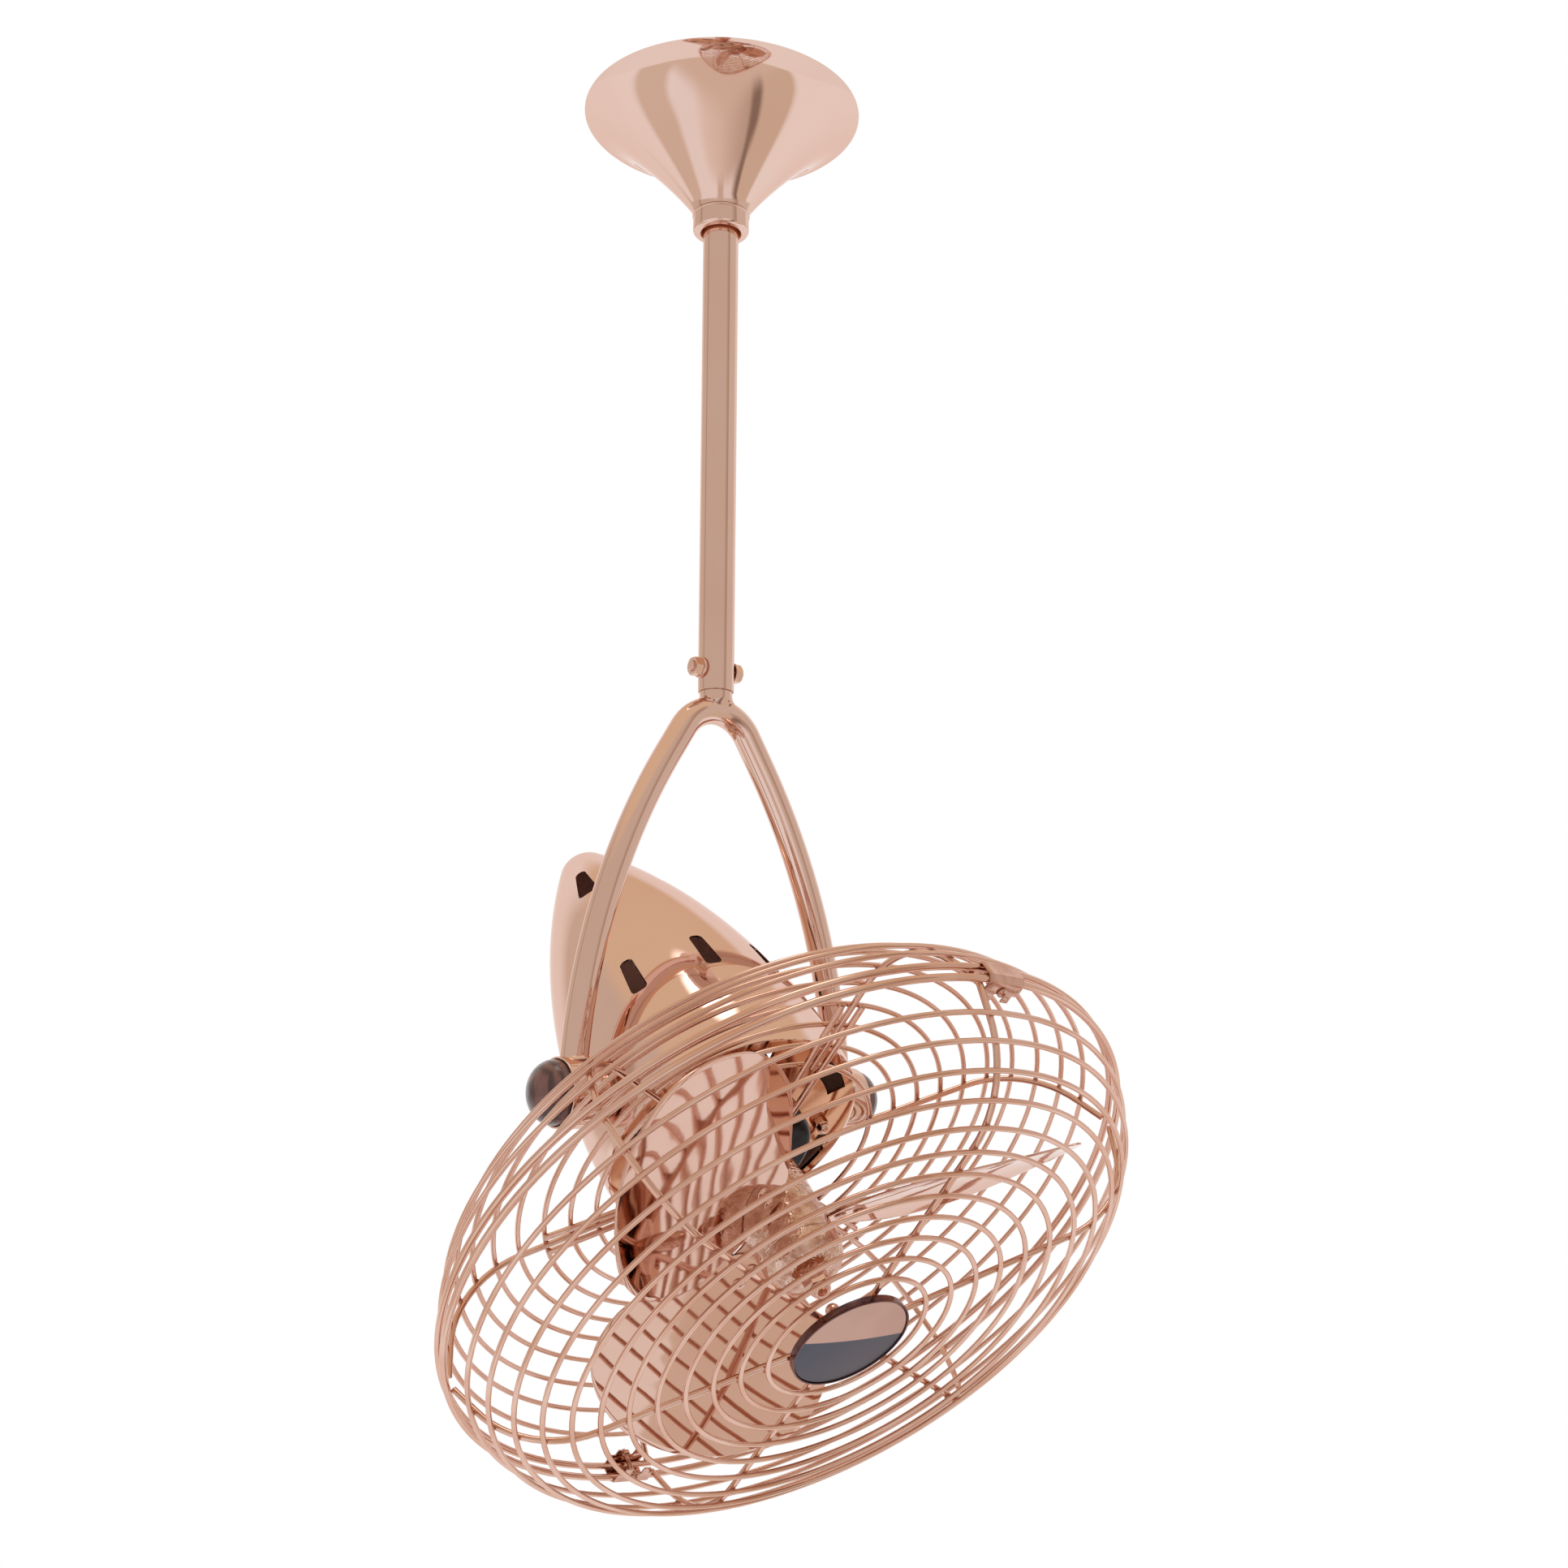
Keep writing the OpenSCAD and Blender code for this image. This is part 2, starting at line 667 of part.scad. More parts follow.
module front_band() {
    n = 20;
    outer = [for (i = [0 : n]) let (a = seam + (band_front - seam) * i / n) [band_outer(a), a]];
    inner = [for (i = [0 : n]) let (a = plate_back - ledge_t + (seam - plate_back + ledge_t) * i / n)
        [band_outer(a) - band_wall, a]];
    color(copper) in_head() difference() {
        union() {
            rotate_extrude() polygon(concat(outer,
                [[plate_r + slip, band_front], [plate_r + slip, plate_back],
                 [plate_r - ledge_w, plate_back], [plate_r - ledge_w, plate_back - ledge_t]], inner));
            for (s = [0, 1]) mirror([s, 0, 0]) along_x(boss_in, boss_r, boss_out - boss_in);
        }
        for (s = [0, 1]) mirror([s, 0, 0]) along_x(boss_in - 1, pivot_bore_r, boss_out - boss_in + 2);
    }
}

module front_plate() {
    color(copper) in_head() difference() {
        ring(plate_r, motor_r + slip, plate_back, band_front);
        around(3, tie_turn) translate([tie_r, 0, plate_back - 1])
            cylinder(r = tie_d / 2 + slip, h = front_plate_t + 2);
        around(plate_vents_n, plate_vent_turn) translate([0, 0, plate_back - 1])
            linear_extrude(front_plate_t + 2) polygon(concat(
                arc([0, 0], plate_vent_out, -plate_vent_span / 2, plate_vent_span / 2, 8),
                arc([0, 0], plate_vent_in, plate_vent_span / 2, -plate_vent_span / 2, 8)));
    }
}

module tie_rods() {
    color(steel) in_head() around(3, tie_turn) translate([tie_r, 0, tie_back])
        cylinder(d = tie_d, h = band_front + 6 - tie_back);
}

module acorn_nuts() {
    dome_r = 3.6;
    color(copper) in_head() around(3, tie_turn) translate([tie_r, 0, band_front + slip]) difference() {
        union() {
            cylinder(d = 8 / cos(30), h = 4, $fn = 6);
            translate([0, 0, 4]) cylinder(r = dome_r, h = 1.4);
            translate([0, 0, 5.4]) sphere(r = dome_r, $fn = 48);
        }
        translate([0, 0, -1]) cylinder(r = tie_d / 2 + slip, h = 7.2);
    }
}

// Motor

module motor_bolt_holes(from, to) {
    around(3, motor_bolts_turn) translate([motor_bolt_r, 0, from])
        cylinder(r = motor_bolt_d / 2 + slip, h = to - from);
}

module motor_front_bell() {
    inner_face = motor_front - bell_wall;
    boss_back = inner_face - bearing_w - 1;
    flange_front = plate_back - slip;
    flange_back = flange_front - bell_flange_t;
    flange_out = motor_r + 4;
    ear_w = 11;
    color(black) in_head() difference() {
        union() {
            rotate_extrude() polygon([
                [motor_r, bell_split], [motor_r, flange_back], [flange_out, flange_back],
                [flange_out, flange_front], [motor_r, flange_front], [motor_r, motor_front],
                [shaft_r + 1, motor_front], [shaft_r + 1, inner_face], [bearing_r + slip, inner_face],
                [bearing_r + slip, boss_back], [bearing_r + 3, boss_back], [bearing_r + 3, inner_face],
                [bell_bore_r, inner_face], [bell_bore_r, bell_split]]);
            around(3, tie_turn) translate([motor_r + 1, -ear_w / 2, flange_back])
                cube([tie_r - motor_r - 1 + tie_d / 2 + 3, ear_w, bell_flange_t]);
        }
        motor_bolt_holes(inner_face - 1, motor_front + 1);
        around(3, tie_turn) translate([tie_r, 0, flange_back - 1])
            cylinder(r = tie_d / 2 + slip, h = bell_flange_t + 2);
    }
}

module motor_rear_bell() {
    inner_face = motor_rear + bell_wall;
    color(black) in_head() difference() {
        rotate_extrude() polygon([
            [0, motor_rear], [motor_r, motor_rear], [motor_r, bell_split - slip],
            [bell_bore_r, bell_split - slip], [bell_bore_r, inner_face], [bearing_r + 3, inner_face],
            [bearing_r + 3, inner_face + bearing_w], [bearing_r + slip, inner_face + bearing_w],
            [bearing_r + slip, inner_face], [0, inner_face]]);
        motor_bolt_holes(motor_rear - 1, inner_face + 1);
    }
}

module stator_core() {
    color(steel) in_head() difference() {
        ring(bell_bore_r - slip, core_r + air_gap, core_rear, core_front);
        motor_bolt_holes(core_rear - 1, core_front + 1);
    }
}

module stator_windings() {
    winding_in = core_r + 3;
    color(winding) in_head() for (from = [core_front, core_rear - winding_l])
        ring(winding_out, winding_in, from + slip, from + winding_l - slip);
}

module bearing(from) {
    race = (bearing_r - shaft_r) * 0.24;
    color(steel) in_head() difference() {
        ring(bearing_r, shaft_r + running, from, from + bearing_w);
        for (z = [from - 1, from + bearing_w - 1])
            ring(bearing_r - race, shaft_r + running + race, z, z + 2);
    }
}

module front_bearing() {
    bearing(motor_front - bell_wall - bearing_w - slip);
}

module rear_bearing() {
    bearing(motor_rear + bell_wall + slip);
}

module motor_bolts() {
    bolt_back = motor_rear - 2.5;
    color(steel) in_head() around(3, motor_bolts_turn) translate([motor_bolt_r, 0, bolt_back]) {
        cylinder(d = motor_bolt_d, h = tab_top + 6 - bolt_back);
        cylinder(r = motor_bolt_d / 2 + 1.6, h = motor_rear - bolt_back - slip);
    }
}

module motor_bolt_nuts() {
    color(copper) in_head() around(3, motor_bolts_turn)
        translate([motor_bolt_r, 0, tab_top + slip]) hex_nut(8, 3.2, motor_bolt_d / 2 + slip);
}

clip_base = motor_rear - 1.5;

module capacitor_clip() {
    wall = 1.2;
    color(steel) in_head() {
        translate([0, 0, clip_base]) cylinder(r = capacitor_r + slip + wall, h = 1.5 - slip);
        ring(capacitor_r + slip + wall, capacitor_r + slip, clip_base - 12, clip_base + eps);
    }
}

module capacitor() {
    color(plastic) in_head() translate([0, 0, clip_base - slip - capacitor_l])
        cylinder(r = capacitor_r, h = capacitor_l);
}

// Guard

// Straight wire between two points of the plane through the axis
module wire(p, q, d) {
    l = norm(q - p) - 2 * joint_gap;
    translate([p[0], 0, p[1]]) rotate([0, atan2(q[0] - p[0], q[1] - p[1]), 0])
        translate([0, 0, joint_gap]) cylinder(d = d, h = l, $fn = 32);
}

module radial_wire(inner_r) {
    inset = wire_inset * [sin(face_slope), cos(face_slope)];
    start = face_point(0) - inset - (first_ring_r - inner_r) * face_dir;
    bend = face_end - inset;
    last = shoulder_point(shoulder_rings, shoulder_r - wire_inset);
    rim_side = rim_point - [(rim_d + radial_d) / 2 - weld, 0];
    wire(start, bend, radial_d);
    translate([shoulder_c[0], 0, shoulder_c[1]]) rotate([90, 0, 0])
        rotate([0, 0, 90 - face_slope - shoulder_rings * shoulder_step])
            rotate_extrude(angle = shoulder_rings * shoulder_step)
                translate([shoulder_r - wire_inset, 0]) circle(d = radial_d, $fn = 32);
    wire(last, rim_side, radial_d);
    for (p = [bend, last, rim_side]) joint_ball(p, radial_d, $fn = 32);
}

module joint_ball(p, d) {
    translate([p[0], 0, p[1]]) sphere(r = d / 2 + joint_over);
}

module torus(p, d) {
    translate([0, 0, p[1]]) rotate_extrude() translate([p[0], 0]) circle(d = d, $fn = 32);
}

// One half of the cage over the middle plane, from its first ring out to its rim
module half_guard(first, inner_r) {
    for (i = [first : rings_n - 1]) torus(ring_point(i), ring_d);
    around(radials_n, radial_turn) radial_wire(inner_r);
    difference() {
        torus(rim_point, rim_d);
        for (t = [clip_turn, clip_turn + 180]) rotate([0, 0, t])
            translate([rim_r - rim_d, clip_l / 2 - 3, rim_point[1] - rim_d])
                cube([2 * rim_d, 1.2, 2 * rim_d]);
    }
}

module rear_guard() {
    color(copper) in_head() translate([0, 0, guard_mid]) mirror([0, 0, 1])
        half_guard(rear_open_rings, rear_edge_ring[0]);
}

module front_guard() {
    color(copper) in_head() {
        translate([0, 0, guard_mid]) half_guard(0, radial_start);
        ring(hub_disc_r, badge_screw_d / 2 + slip, disc_mid - hub_disc_t / 2, disc_mid + hub_disc_t / 2);
    }
}

module guard_struts() {
    outer = strut_ring[0];
    inner_half = strut_half - 2;
    color(copper) in_head() around(3, motor_bolts_turn) difference() {
        union() {
            for (s = [-1, 1]) {
                turn = s * atan2(strut_half - inner_half, outer - rod_inner);
                translate([rod_inner, s * inner_half, strut_mid]) rotate([0, 0, turn]) {
                    rotate([0, 90, 0]) cylinder(d = radial_d, h = outer - rod_inner, $fn = 32);
                    translate([outer - rod_inner, 0, 0]) sphere(d = radial_d, $fn = 32);
                }
            }
            translate([tab_inner, -inner_half - 2, motor_front + slip])
                cube([rod_inner + 6 - tab_inner, 2 * inner_half + 4, tab_t - slip]);
        }
        translate([motor_bolt_r, 0, motor_front - 1]) cylinder(r = motor_bolt_d / 2 + slip, h = tab_t + 2);
    }
}

clip_t = 1;
clip_depth = 9;
clip_room = 0.2;
clip_half = rim_gap / 2 + rim_d / 2 + clip_room;
clip_out = rim_r + rim_d / 2 + clip_room;
clip_hole_r = rim_r - rim_d / 2 - 3;
clip_screw_r = 1.5;

module guard_clips() {
    tongue_l = 9;
    tongue_w = 5;
    color(copper) in_head() around(2, clip_turn) translate([0, 0, guard_mid]) difference() {
        union() {
            translate([clip_out, -clip_l / 2, -clip_half - clip_t])
                cube([clip_t, clip_l, 2 * clip_half + 2 * clip_t]);
            for (s = [0, 1]) mirror([0, 0, s]) {
                translate([clip_out - clip_depth, -clip_l / 2, clip_half])
                    cube([clip_depth + eps, clip_l, clip_t]);
                for (y = [-clip_l / 2 + tongue_w, clip_l / 2 - tongue_w])
                    translate([clip_out - clip_depth - tongue_l + tongue_w / 2, y, clip_half]) {
                        translate([0, -tongue_w / 2, 0]) cube([tongue_l, tongue_w, clip_t]);
                        cylinder(d = tongue_w, h = clip_t, $fn = 32);
                    }
            }
        }
        translate([clip_hole_r, 0, -clip_half - 2]) cylinder(r = clip_screw_r + slip, h = 2 * clip_half + 4);
    }
}

module clip_screws() {
    head = clip_half + clip_t + slip;
    color(copper) in_head() around(2, clip_turn) translate([clip_hole_r, 0, guard_mid]) {
        translate([0, 0, -head - 4]) cylinder(r = clip_screw_r, h = 2 * head + 4 + eps);
        translate([0, 0, head]) cylinder(r = 2.8, h = 1.8);
    }
}

module clip_nuts() {
    head = clip_half + clip_t + slip;
    color(copper) in_head() around(2, clip_turn) translate([clip_hole_r, 0, guard_mid - head - 2.4])
        hex_nut(5.5, 2.4, clip_screw_r + slip);
}

module badge_rim() {
    color(dark_copper) in_head() ring(badge_r + 1, badge_r, badge_back + slip, badge_face + 0.4);
}

module badge_back_plate() {
    color(dark_copper) in_head()
        ring(badge_r - slip, badge_screw_d / 2 + slip, badge_back + slip, badge_back + badge_plate_t);
}

module badge() {
    color(copper) in_head() translate([0, 0, badge_back + badge_plate_t + slip])
        cylinder(r = badge_r - slip, h = badge_t - slip);
}

module badge_screw() {
    color(steel) in_head() translate([0, 0, badge_nut_face - 3])
        cylinder(d = badge_screw_d, h = badge_back + badge_plate_t + 3 - badge_nut_face);
}

module badge_nut() {
    dome_r = 4;
    sleeve = disc_mid - hub_disc_t / 2 - slip - badge_nut_face;
    color(copper) in_head() difference() {
        translate([0, 0, badge_nut_face]) {
            cylinder(r = 5, h = sleeve);
            translate([0, 0, -2]) cylinder(r = dome_r, h = 3);
            translate([0, 0, -2]) sphere(r = dome_r, $fn = 48);
        }
        translate([0, 0, badge_nut_face - 3.1]) cylinder(r = badge_screw_d / 2 + slip, h = sleeve + 5);
    }
}

// Pivot hardware

module pivot_studs() {
    color(steel) in_head() for (s = [0, 1]) mirror([s, 0, 0]) {
        along_x(boss_in - slip - stud_head_t, stud_r + 3, stud_head_t);
        along_x(boss_in - 1, stud_r, stud_out - boss_in + 1);
    }
}

module pivot_washers() {
    color(plastic) in_head() for (s = [0, 1]) mirror([s, 0, 0])
        rotate([0, 90, 0]) ring(boss_r + 1, pivot_bore_r, boss_out + slip, pivot_half - 0.1);
}

module knob(side) {
    edge = 7;
    foot = 4;
    crown = 2.5;
    color(wood) at_pivot(side) rotate([0, 90, 0]) difference() {
        translate([0, 0, knob_base]) rotate_extrude() polygon(concat(
            [[0, 0], [knob_r, 0], [knob_r, foot]],
            curve([knob_r, foot], [knob_r, foot + edge], [knob_r - edge, knob_h - crown / 2],
                [0, knob_h], 14)));
        translate([0, 0, knob_base - 1]) cylinder(r = insert_r + slip, h = insert_l + 1);
    }
}

module knob_insert(side) {
    color(brass) at_pivot(side) rotate([0, 90, 0]) difference() {
        translate([0, 0, knob_base + slip]) cylinder(r = insert_r, h = insert_l - 2 * slip);
        translate([0, 0, knob_base - 1]) cylinder(r = pivot_bore_r, h = insert_l + 2);
    }
}

module left_knob() {
    knob(-1);
}

module left_knob_insert() {
    knob_insert(-1);
}

module right_knob() {
    knob(1);
}

module right_knob_insert() {
    knob_insert(1);
}

// Rotor

module motor_shaft() {
    back = motor_rear + bell_wall + 1;
    color(steel) in_head() translate([0, 0, back]) cylinder(r = shaft_r, h = shaft_top - back);
}

module motor_rotor() {
    color(steel) in_head() {
        ring(core_r, shaft_r + slip, core_rear, core_front);
        for (from = [core_rear - 3, core_front - eps])
            ring(core_r - 1, core_r - 5, from, from + 3 + eps);
    }
}

// Sheet of a given thickness that curves about a line along the blade
module cambered(from, to) {
    translate([0, 0, blade_camber]) rotate([0, 90, 0])
        ring(blade_camber + to, blade_camber - from, 0, blade_reach + 24, $fn = 240);
}

module at_blade(i) {
    in_head() rotate([0, 0, blade_turn + i * 120]) translate([0, 0, blade_mid]) rotate([blade_pitch, 0, 0])
        children();
}

// Outline as shares: along the blade from its root to its tip, and of the width on that side
blade_shares = [[0, -0.2], [0.2, -0.66], [0.5, -1], [0.8, -0.72], [1, 0.12], [0.94, 0.65],
    [0.645, 1], [0.335, 0.95], [0.095, 0.62], [0, 0.17]];
blade_outline = smooth([for (p = blade_shares)
    [blade_root + p[0] * (blade_reach - blade_root), p[1] * (p[1] < 0 ? blade_rear_w : blade_front_w)]], 6);

module blade_screw_spots() {
    for (x = [hub_r + 10, pad_reach - 7]) translate([x, pad_offset, 0]) children();
}

module blade(i) {
    color(copper) at_blade(i) difference() {
        intersection() {
            cambered(blade_t, 0);
            translate([0, 0, -3]) linear_extrude(40) polygon(blade_outline);
        }
        blade_screw_spots() translate([0, 0, -5]) cylinder(r = blade_screw_d / 2 + slip, h = 12);
    }
}

module rotor_hub() {
    color(copper) difference() {
        union() {
            in_head() translate([0, 0, hub_rear]) cylinder(r = hub_r, h = hub_l);
            for (i = [0 : 2]) at_blade(i) intersection() {
                cambered(-slip, pad_t);
                translate([hub_r - 8, pad_offset - pad_w / 2, -pad_t - 1])
                    cube([pad_reach - hub_r + 8, pad_w, pad_t + 6]);
            }
        }
        in_head() translate([0, 0, hub_rear - 1]) cylinder(r = shaft_r + slip, h = hub_l + 2);
        for (i = [0 : 2]) at_blade(i) blade_screw_spots() translate([0, 0, -6])
            cylinder(r = blade_screw_d / 2 + slip, h = 10);
    }
}

module blade_screws() {
    color(copper) for (i = [0 : 2]) at_blade(i) blade_screw_spots() {
        translate([0, 0, -pad_t - 1]) cylinder(d = blade_screw_d, h = pad_t + 1 + blade_t + 2 * slip);
        translate([0, 0, blade_t + slip]) cylinder(r = blade_screw_d / 2 + 1.5, h = 1.6);
    }
}

module hub_cap() {
    from = hub_rear + hub_l + slip;
    nose_flat = hub_nut_af / 2 + 2;
    color(copper) in_head() difference() {
        rotate_extrude() polygon(concat([[0, from], [hub_r, from]],
            curve([hub_r, from + 1], [hub_r, from + cap_h * 0.7],
                [hub_r * 0.7, cap_top], [nose_flat, cap_top], 12),
            [[0, cap_top]]));
        translate([0, 0, from - 1]) cylinder(r = shaft_r + slip, h = cap_h + 2);
        translate([0, 0, from - 1]) cylinder(r = hub_r - 5, h = 6);
    }
}

module hub_nut() {
    color(copper) in_head() difference() {
        translate([0, 0, cap_top + slip]) {
            cylinder(d = hub_nut_af / cos(30), h = hub_nut_t, $fn = 6);
            translate([0, 0, hub_nut_t]) sphere(r = hub_nut_af / 2 - 0.5, $fn = 48);
        }
        translate([0, 0, cap_top - 1]) cylinder(r = shaft_r + slip, h = shaft_top - cap_top + 1.2);
        translate([0, 0, cap_top - 10 + slip]) cylinder(r = hub_nut_af, h = 10);
    }
}

module blade_1() {
    blade(0);
}

module blade_2() {
    blade(1);
}

module blade_3() {
    blade(2);
}

ceiling_bracket();
terminal_block();
terminal_screws();
hanger_ball();
hanger_pin();
downrod();
yoke_neck();
yoke_fork();
pivot_collars();
yoke_bolt();
yoke_bolt_nut();
yoke_bolt_washers();
canopy();
canopy_collar();
canopy_grip_ring();
collar_grub_screw();
tail_shell();
front_band();
front_plate();
tie_rods();
acorn_nuts();
motor_front_bell();
motor_rear_bell();
stator_core();
stator_windings();
front_bearing();
rear_bearing();
motor_bolts();
motor_bolt_nuts();
capacitor_clip();
capacitor();
guard_struts();
rear_guard();
front_guard();
guard_clips();
clip_screws();
clip_nuts();
badge();
badge_rim();
badge_back_plate();
badge_screw();
badge_nut();
pivot_studs();
pivot_washers();
motor_shaft();
motor_rotor();
rotor_hub();
hub_cap();
hub_nut();
blade_1();
blade_2();
blade_3();
blade_screws();
left_knob();
left_knob_insert();
right_knob();
right_knob_insert();
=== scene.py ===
from math import asin, atan2, cos, pi, radians, sin, sqrt, tan, tau

import bpy
from mathutils import Matrix, Vector


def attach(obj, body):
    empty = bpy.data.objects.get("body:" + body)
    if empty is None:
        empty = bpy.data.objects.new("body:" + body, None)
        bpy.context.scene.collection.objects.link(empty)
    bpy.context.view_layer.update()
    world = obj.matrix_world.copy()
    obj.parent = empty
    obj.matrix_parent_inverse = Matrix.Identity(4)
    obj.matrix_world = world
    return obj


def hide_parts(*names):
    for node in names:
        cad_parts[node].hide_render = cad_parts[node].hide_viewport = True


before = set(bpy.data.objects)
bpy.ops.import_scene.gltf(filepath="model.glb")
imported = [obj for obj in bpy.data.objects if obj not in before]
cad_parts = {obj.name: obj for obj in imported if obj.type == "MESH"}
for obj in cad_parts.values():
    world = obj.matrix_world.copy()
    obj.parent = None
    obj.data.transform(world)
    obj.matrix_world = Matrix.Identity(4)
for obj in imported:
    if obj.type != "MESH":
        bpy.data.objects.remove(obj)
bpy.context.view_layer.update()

bpy.ops.object.select_all(action="DESELECT")

# Studio: the camera stands a little below the cage and looks slightly up, with a lens of about 42 mm.
# The set is a white cove behind the fan, tan walls to the sides, lamps behind paper and a pale floor.
look_turn, look_lift, look_lean = radians(37.85), radians(4.69), radians(0.44)
up = Vector((0, 0, 1))
ahead = Vector((sin(look_turn), cos(look_turn), 0))
aside = Vector((cos(look_turn), -sin(look_turn), 0))
sight = cos(look_lift) * ahead + sin(look_lift) * up
overhead = cos(look_lift) * up - sin(look_lift) * ahead
across = cos(look_lean) * aside + sin(look_lean) * overhead
upright = cos(look_lean) * overhead - sin(look_lean) * aside
bpy.ops.object.camera_add()
camera = bpy.context.object
camera.name = "camera"
camera.matrix_world = Matrix.Translation((-0.6222, -0.8684, -0.6165)) @ Matrix(
    (across, upright, -sight)).transposed().to_4x4()
camera.data.sensor_width = 36
camera.data.lens = 42.19
camera.data.shift_y = 0.13
camera.data.clip_start = 0.02
bpy.context.scene.camera = camera
bpy.context.scene.view_settings.view_transform = "Standard"

# Colours of the set, by the angle from the camera's side, in degrees to its right, at three heights
cove, lit_paper, unlit = (1, 1, 1), (0.97, 0.97, 0.98), (0, 0, 0)
tan_wall, brown_wall, right_wall = (0.77, 0.68, 0.585), (0.7, 0.6, 0.52), (0.73, 0.62, 0.505)
dark_gap, deep_gap, eye_wall = (0.52, 0.4, 0.32), (0.3, 0.22, 0.18), (0.68, 0.6, 0.525)
upper_walls = [
    (-180, cove), (-142, cove), (-128, (0.74, 0.66, 0.57)), (-90, eye_wall), (-87, dark_gap), (-82, dark_gap),
    (-79, eye_wall), (45, eye_wall), (60, dark_gap), (67, dark_gap), (70, (0.72, 0.64, 0.57)),
    (118, (0.74, 0.66, 0.6)), (138, cove), (180, cove)]
lower_walls = [
    (-180, cove), (-116, cove), (-109, tan_wall), (-80, tan_wall), (-72, lit_paper), (-16, lit_paper),
    (-8, brown_wall), (6, brown_wall), (14, (0.93, 0.91, 0.91)), (38, (0.9, 0.87, 0.86)), (54, deep_gap),
    (60, deep_gap), (66, right_wall), (101, right_wall), (108, cove), (180, cove)]
deep_walls = [
    (-180, cove), (-116, cove), (-109, tan_wall), (-86, tan_wall), (-79, lit_paper), (-50, lit_paper),
    (-34, (0.9, 0.83, 0.78)), (-4, (0.84, 0.75, 0.68)), (30, brown_wall), (52, (0.6, 0.5, 0.42)),
    (58, deep_gap), (66, deep_gap), (72, right_wall), (101, right_wall), (108, cove), (180, cove)]
floor_tone, ceiling_tone, panel_light = (0.78, 0.68, 0.585), (0.81, 0.655, 0.485), (3.2, 3.1, 3.0)
# Heights at which one tone gives way to the next, in degrees above the level of the eye
floor_edge, deep_edge, eye_edge = (-70, -60), (-54, -46), (-16, -6)
ceiling_edge, panel_edge = (36, 48), (77, 84)


def fed(tree, plug, value):
    """Feed a plug by a link, a number or a colour"""
    if isinstance(value, bpy.types.NodeSocket):
        tree.links.new(value, plug)
    else:
        plug.default_value = (*value, 1) if plug.type == "RGBA" else value


def wired(tree, kind, out=None, plugs=None, **settings):
    """Add a node of that kind, set it up, feed its plugs and give back one of its outputs"""
    made = tree.nodes.new("ShaderNode" + kind)
    for label, value in settings.items():
        setattr(made, label, value)
    for label, value in (plugs or {}).items():
        fed(tree, made.inputs[label], value)
    return made.outputs[out] if out else None


def maths(tree, kind, first, second):
    return wired(tree, "Math", "Value", {0: first, 1: second}, operation=kind)


def ramped(tree, value, stops):
    """A colour ramp of (position, tone) stops"""
    ramp = tree.nodes.new("ShaderNodeValToRGB")
    marks = ramp.color_ramp.elements
    for place, tone in stops[1:-1]:
        marks.new(place)
    for mark, (place, tone) in zip(marks, stops):
        mark.position = place
        mark.color = (*tone, 1)
    fed(tree, ramp.inputs["Fac"], value)
    return ramp.outputs["Color"]


def rays_seen(tree):
    """Rays of the camera, and those that are mirrored or bent by the fan's own surfaces"""
    kinds = tree.nodes.new("ShaderNodeLightPath").outputs
    bounced = maths(tree, "MAXIMUM", kinds["Is Glossy Ray"], kinds["Is Transmission Ray"])
    return kinds["Is Camera Ray"], bounced


def new_paint(name, plugs):
    """A material whose surface has these plugs fed"""
    paint = bpy.data.materials.new(name)
    paint.use_nodes = True
    surface = paint.node_tree.nodes["Principled BSDF"]
    for label, value in plugs.items():
        fed(paint.node_tree, surface.inputs[label], value)
    return paint, paint.node_tree, surface


studio = bpy.data.worlds.new("studio")
bpy.context.scene.world = studio
studio.use_nodes = True
room = studio.node_tree
room.nodes.clear()
compass = wired(room, "TexCoord", "Generated")
height = wired(room, "SeparateXYZ", "Z", {"Vector": compass})
faced = wired(room, "Mapping", "Vector", {
    "Vector": compass, "Rotation": (0, 0, -atan2(-ahead.y, -ahead.x))})
bearing = wired(room, "TexGradient", "Fac", {"Vector": faced}, gradient_type="RADIAL")


def wall_ramp(stops):
    return ramped(room, bearing, [(0.5 + angle / 360, tone) for angle, tone in stops])


def stacked(under, over, edge):
    """One tone below and one above, with a soft edge between its two heights"""
    low, high = (sin(radians(lift)) for lift in edge)
    share = wired(room, "MapRange", "Result", {"Value": height, "From Min": low, "From Max": high},
                  interpolation_type="SMOOTHSTEP")
    return wired(room, "Mix", "Result", {"Factor": share, "A": under, "B": over}, data_type="RGBA")


walls = stacked(wall_ramp(deep_walls), wall_ramp(lower_walls), deep_edge)
walls = stacked(walls, wall_ramp(upper_walls), eye_edge)
tones = stacked(stacked(floor_tone, walls, floor_edge), ceiling_tone, ceiling_edge)
tones = stacked(tones, panel_light, panel_edge)
paper = stacked(*(wall_ramp([(angle, tone if tone == cove else unlit) for angle, tone in stops])
                  for stops in (lower_walls, upper_walls)), eye_edge)
paper = stacked(stacked(unlit, paper, floor_edge), unlit, ceiling_edge)
to_camera, mirrored = rays_seen(room)
shown = wired(room, "MixShader", "Shader", {
    "Fac": maths(room, "MAXIMUM", to_camera, maths(room, "MULTIPLY", mirrored, paper)),
    1: wired(room, "Background", "Background", {"Color": tones}),
    2: wired(room, "Background", "Background", {"Color": cove})})
wired(room, "OutputWorld", plugs={"Surface": shown})

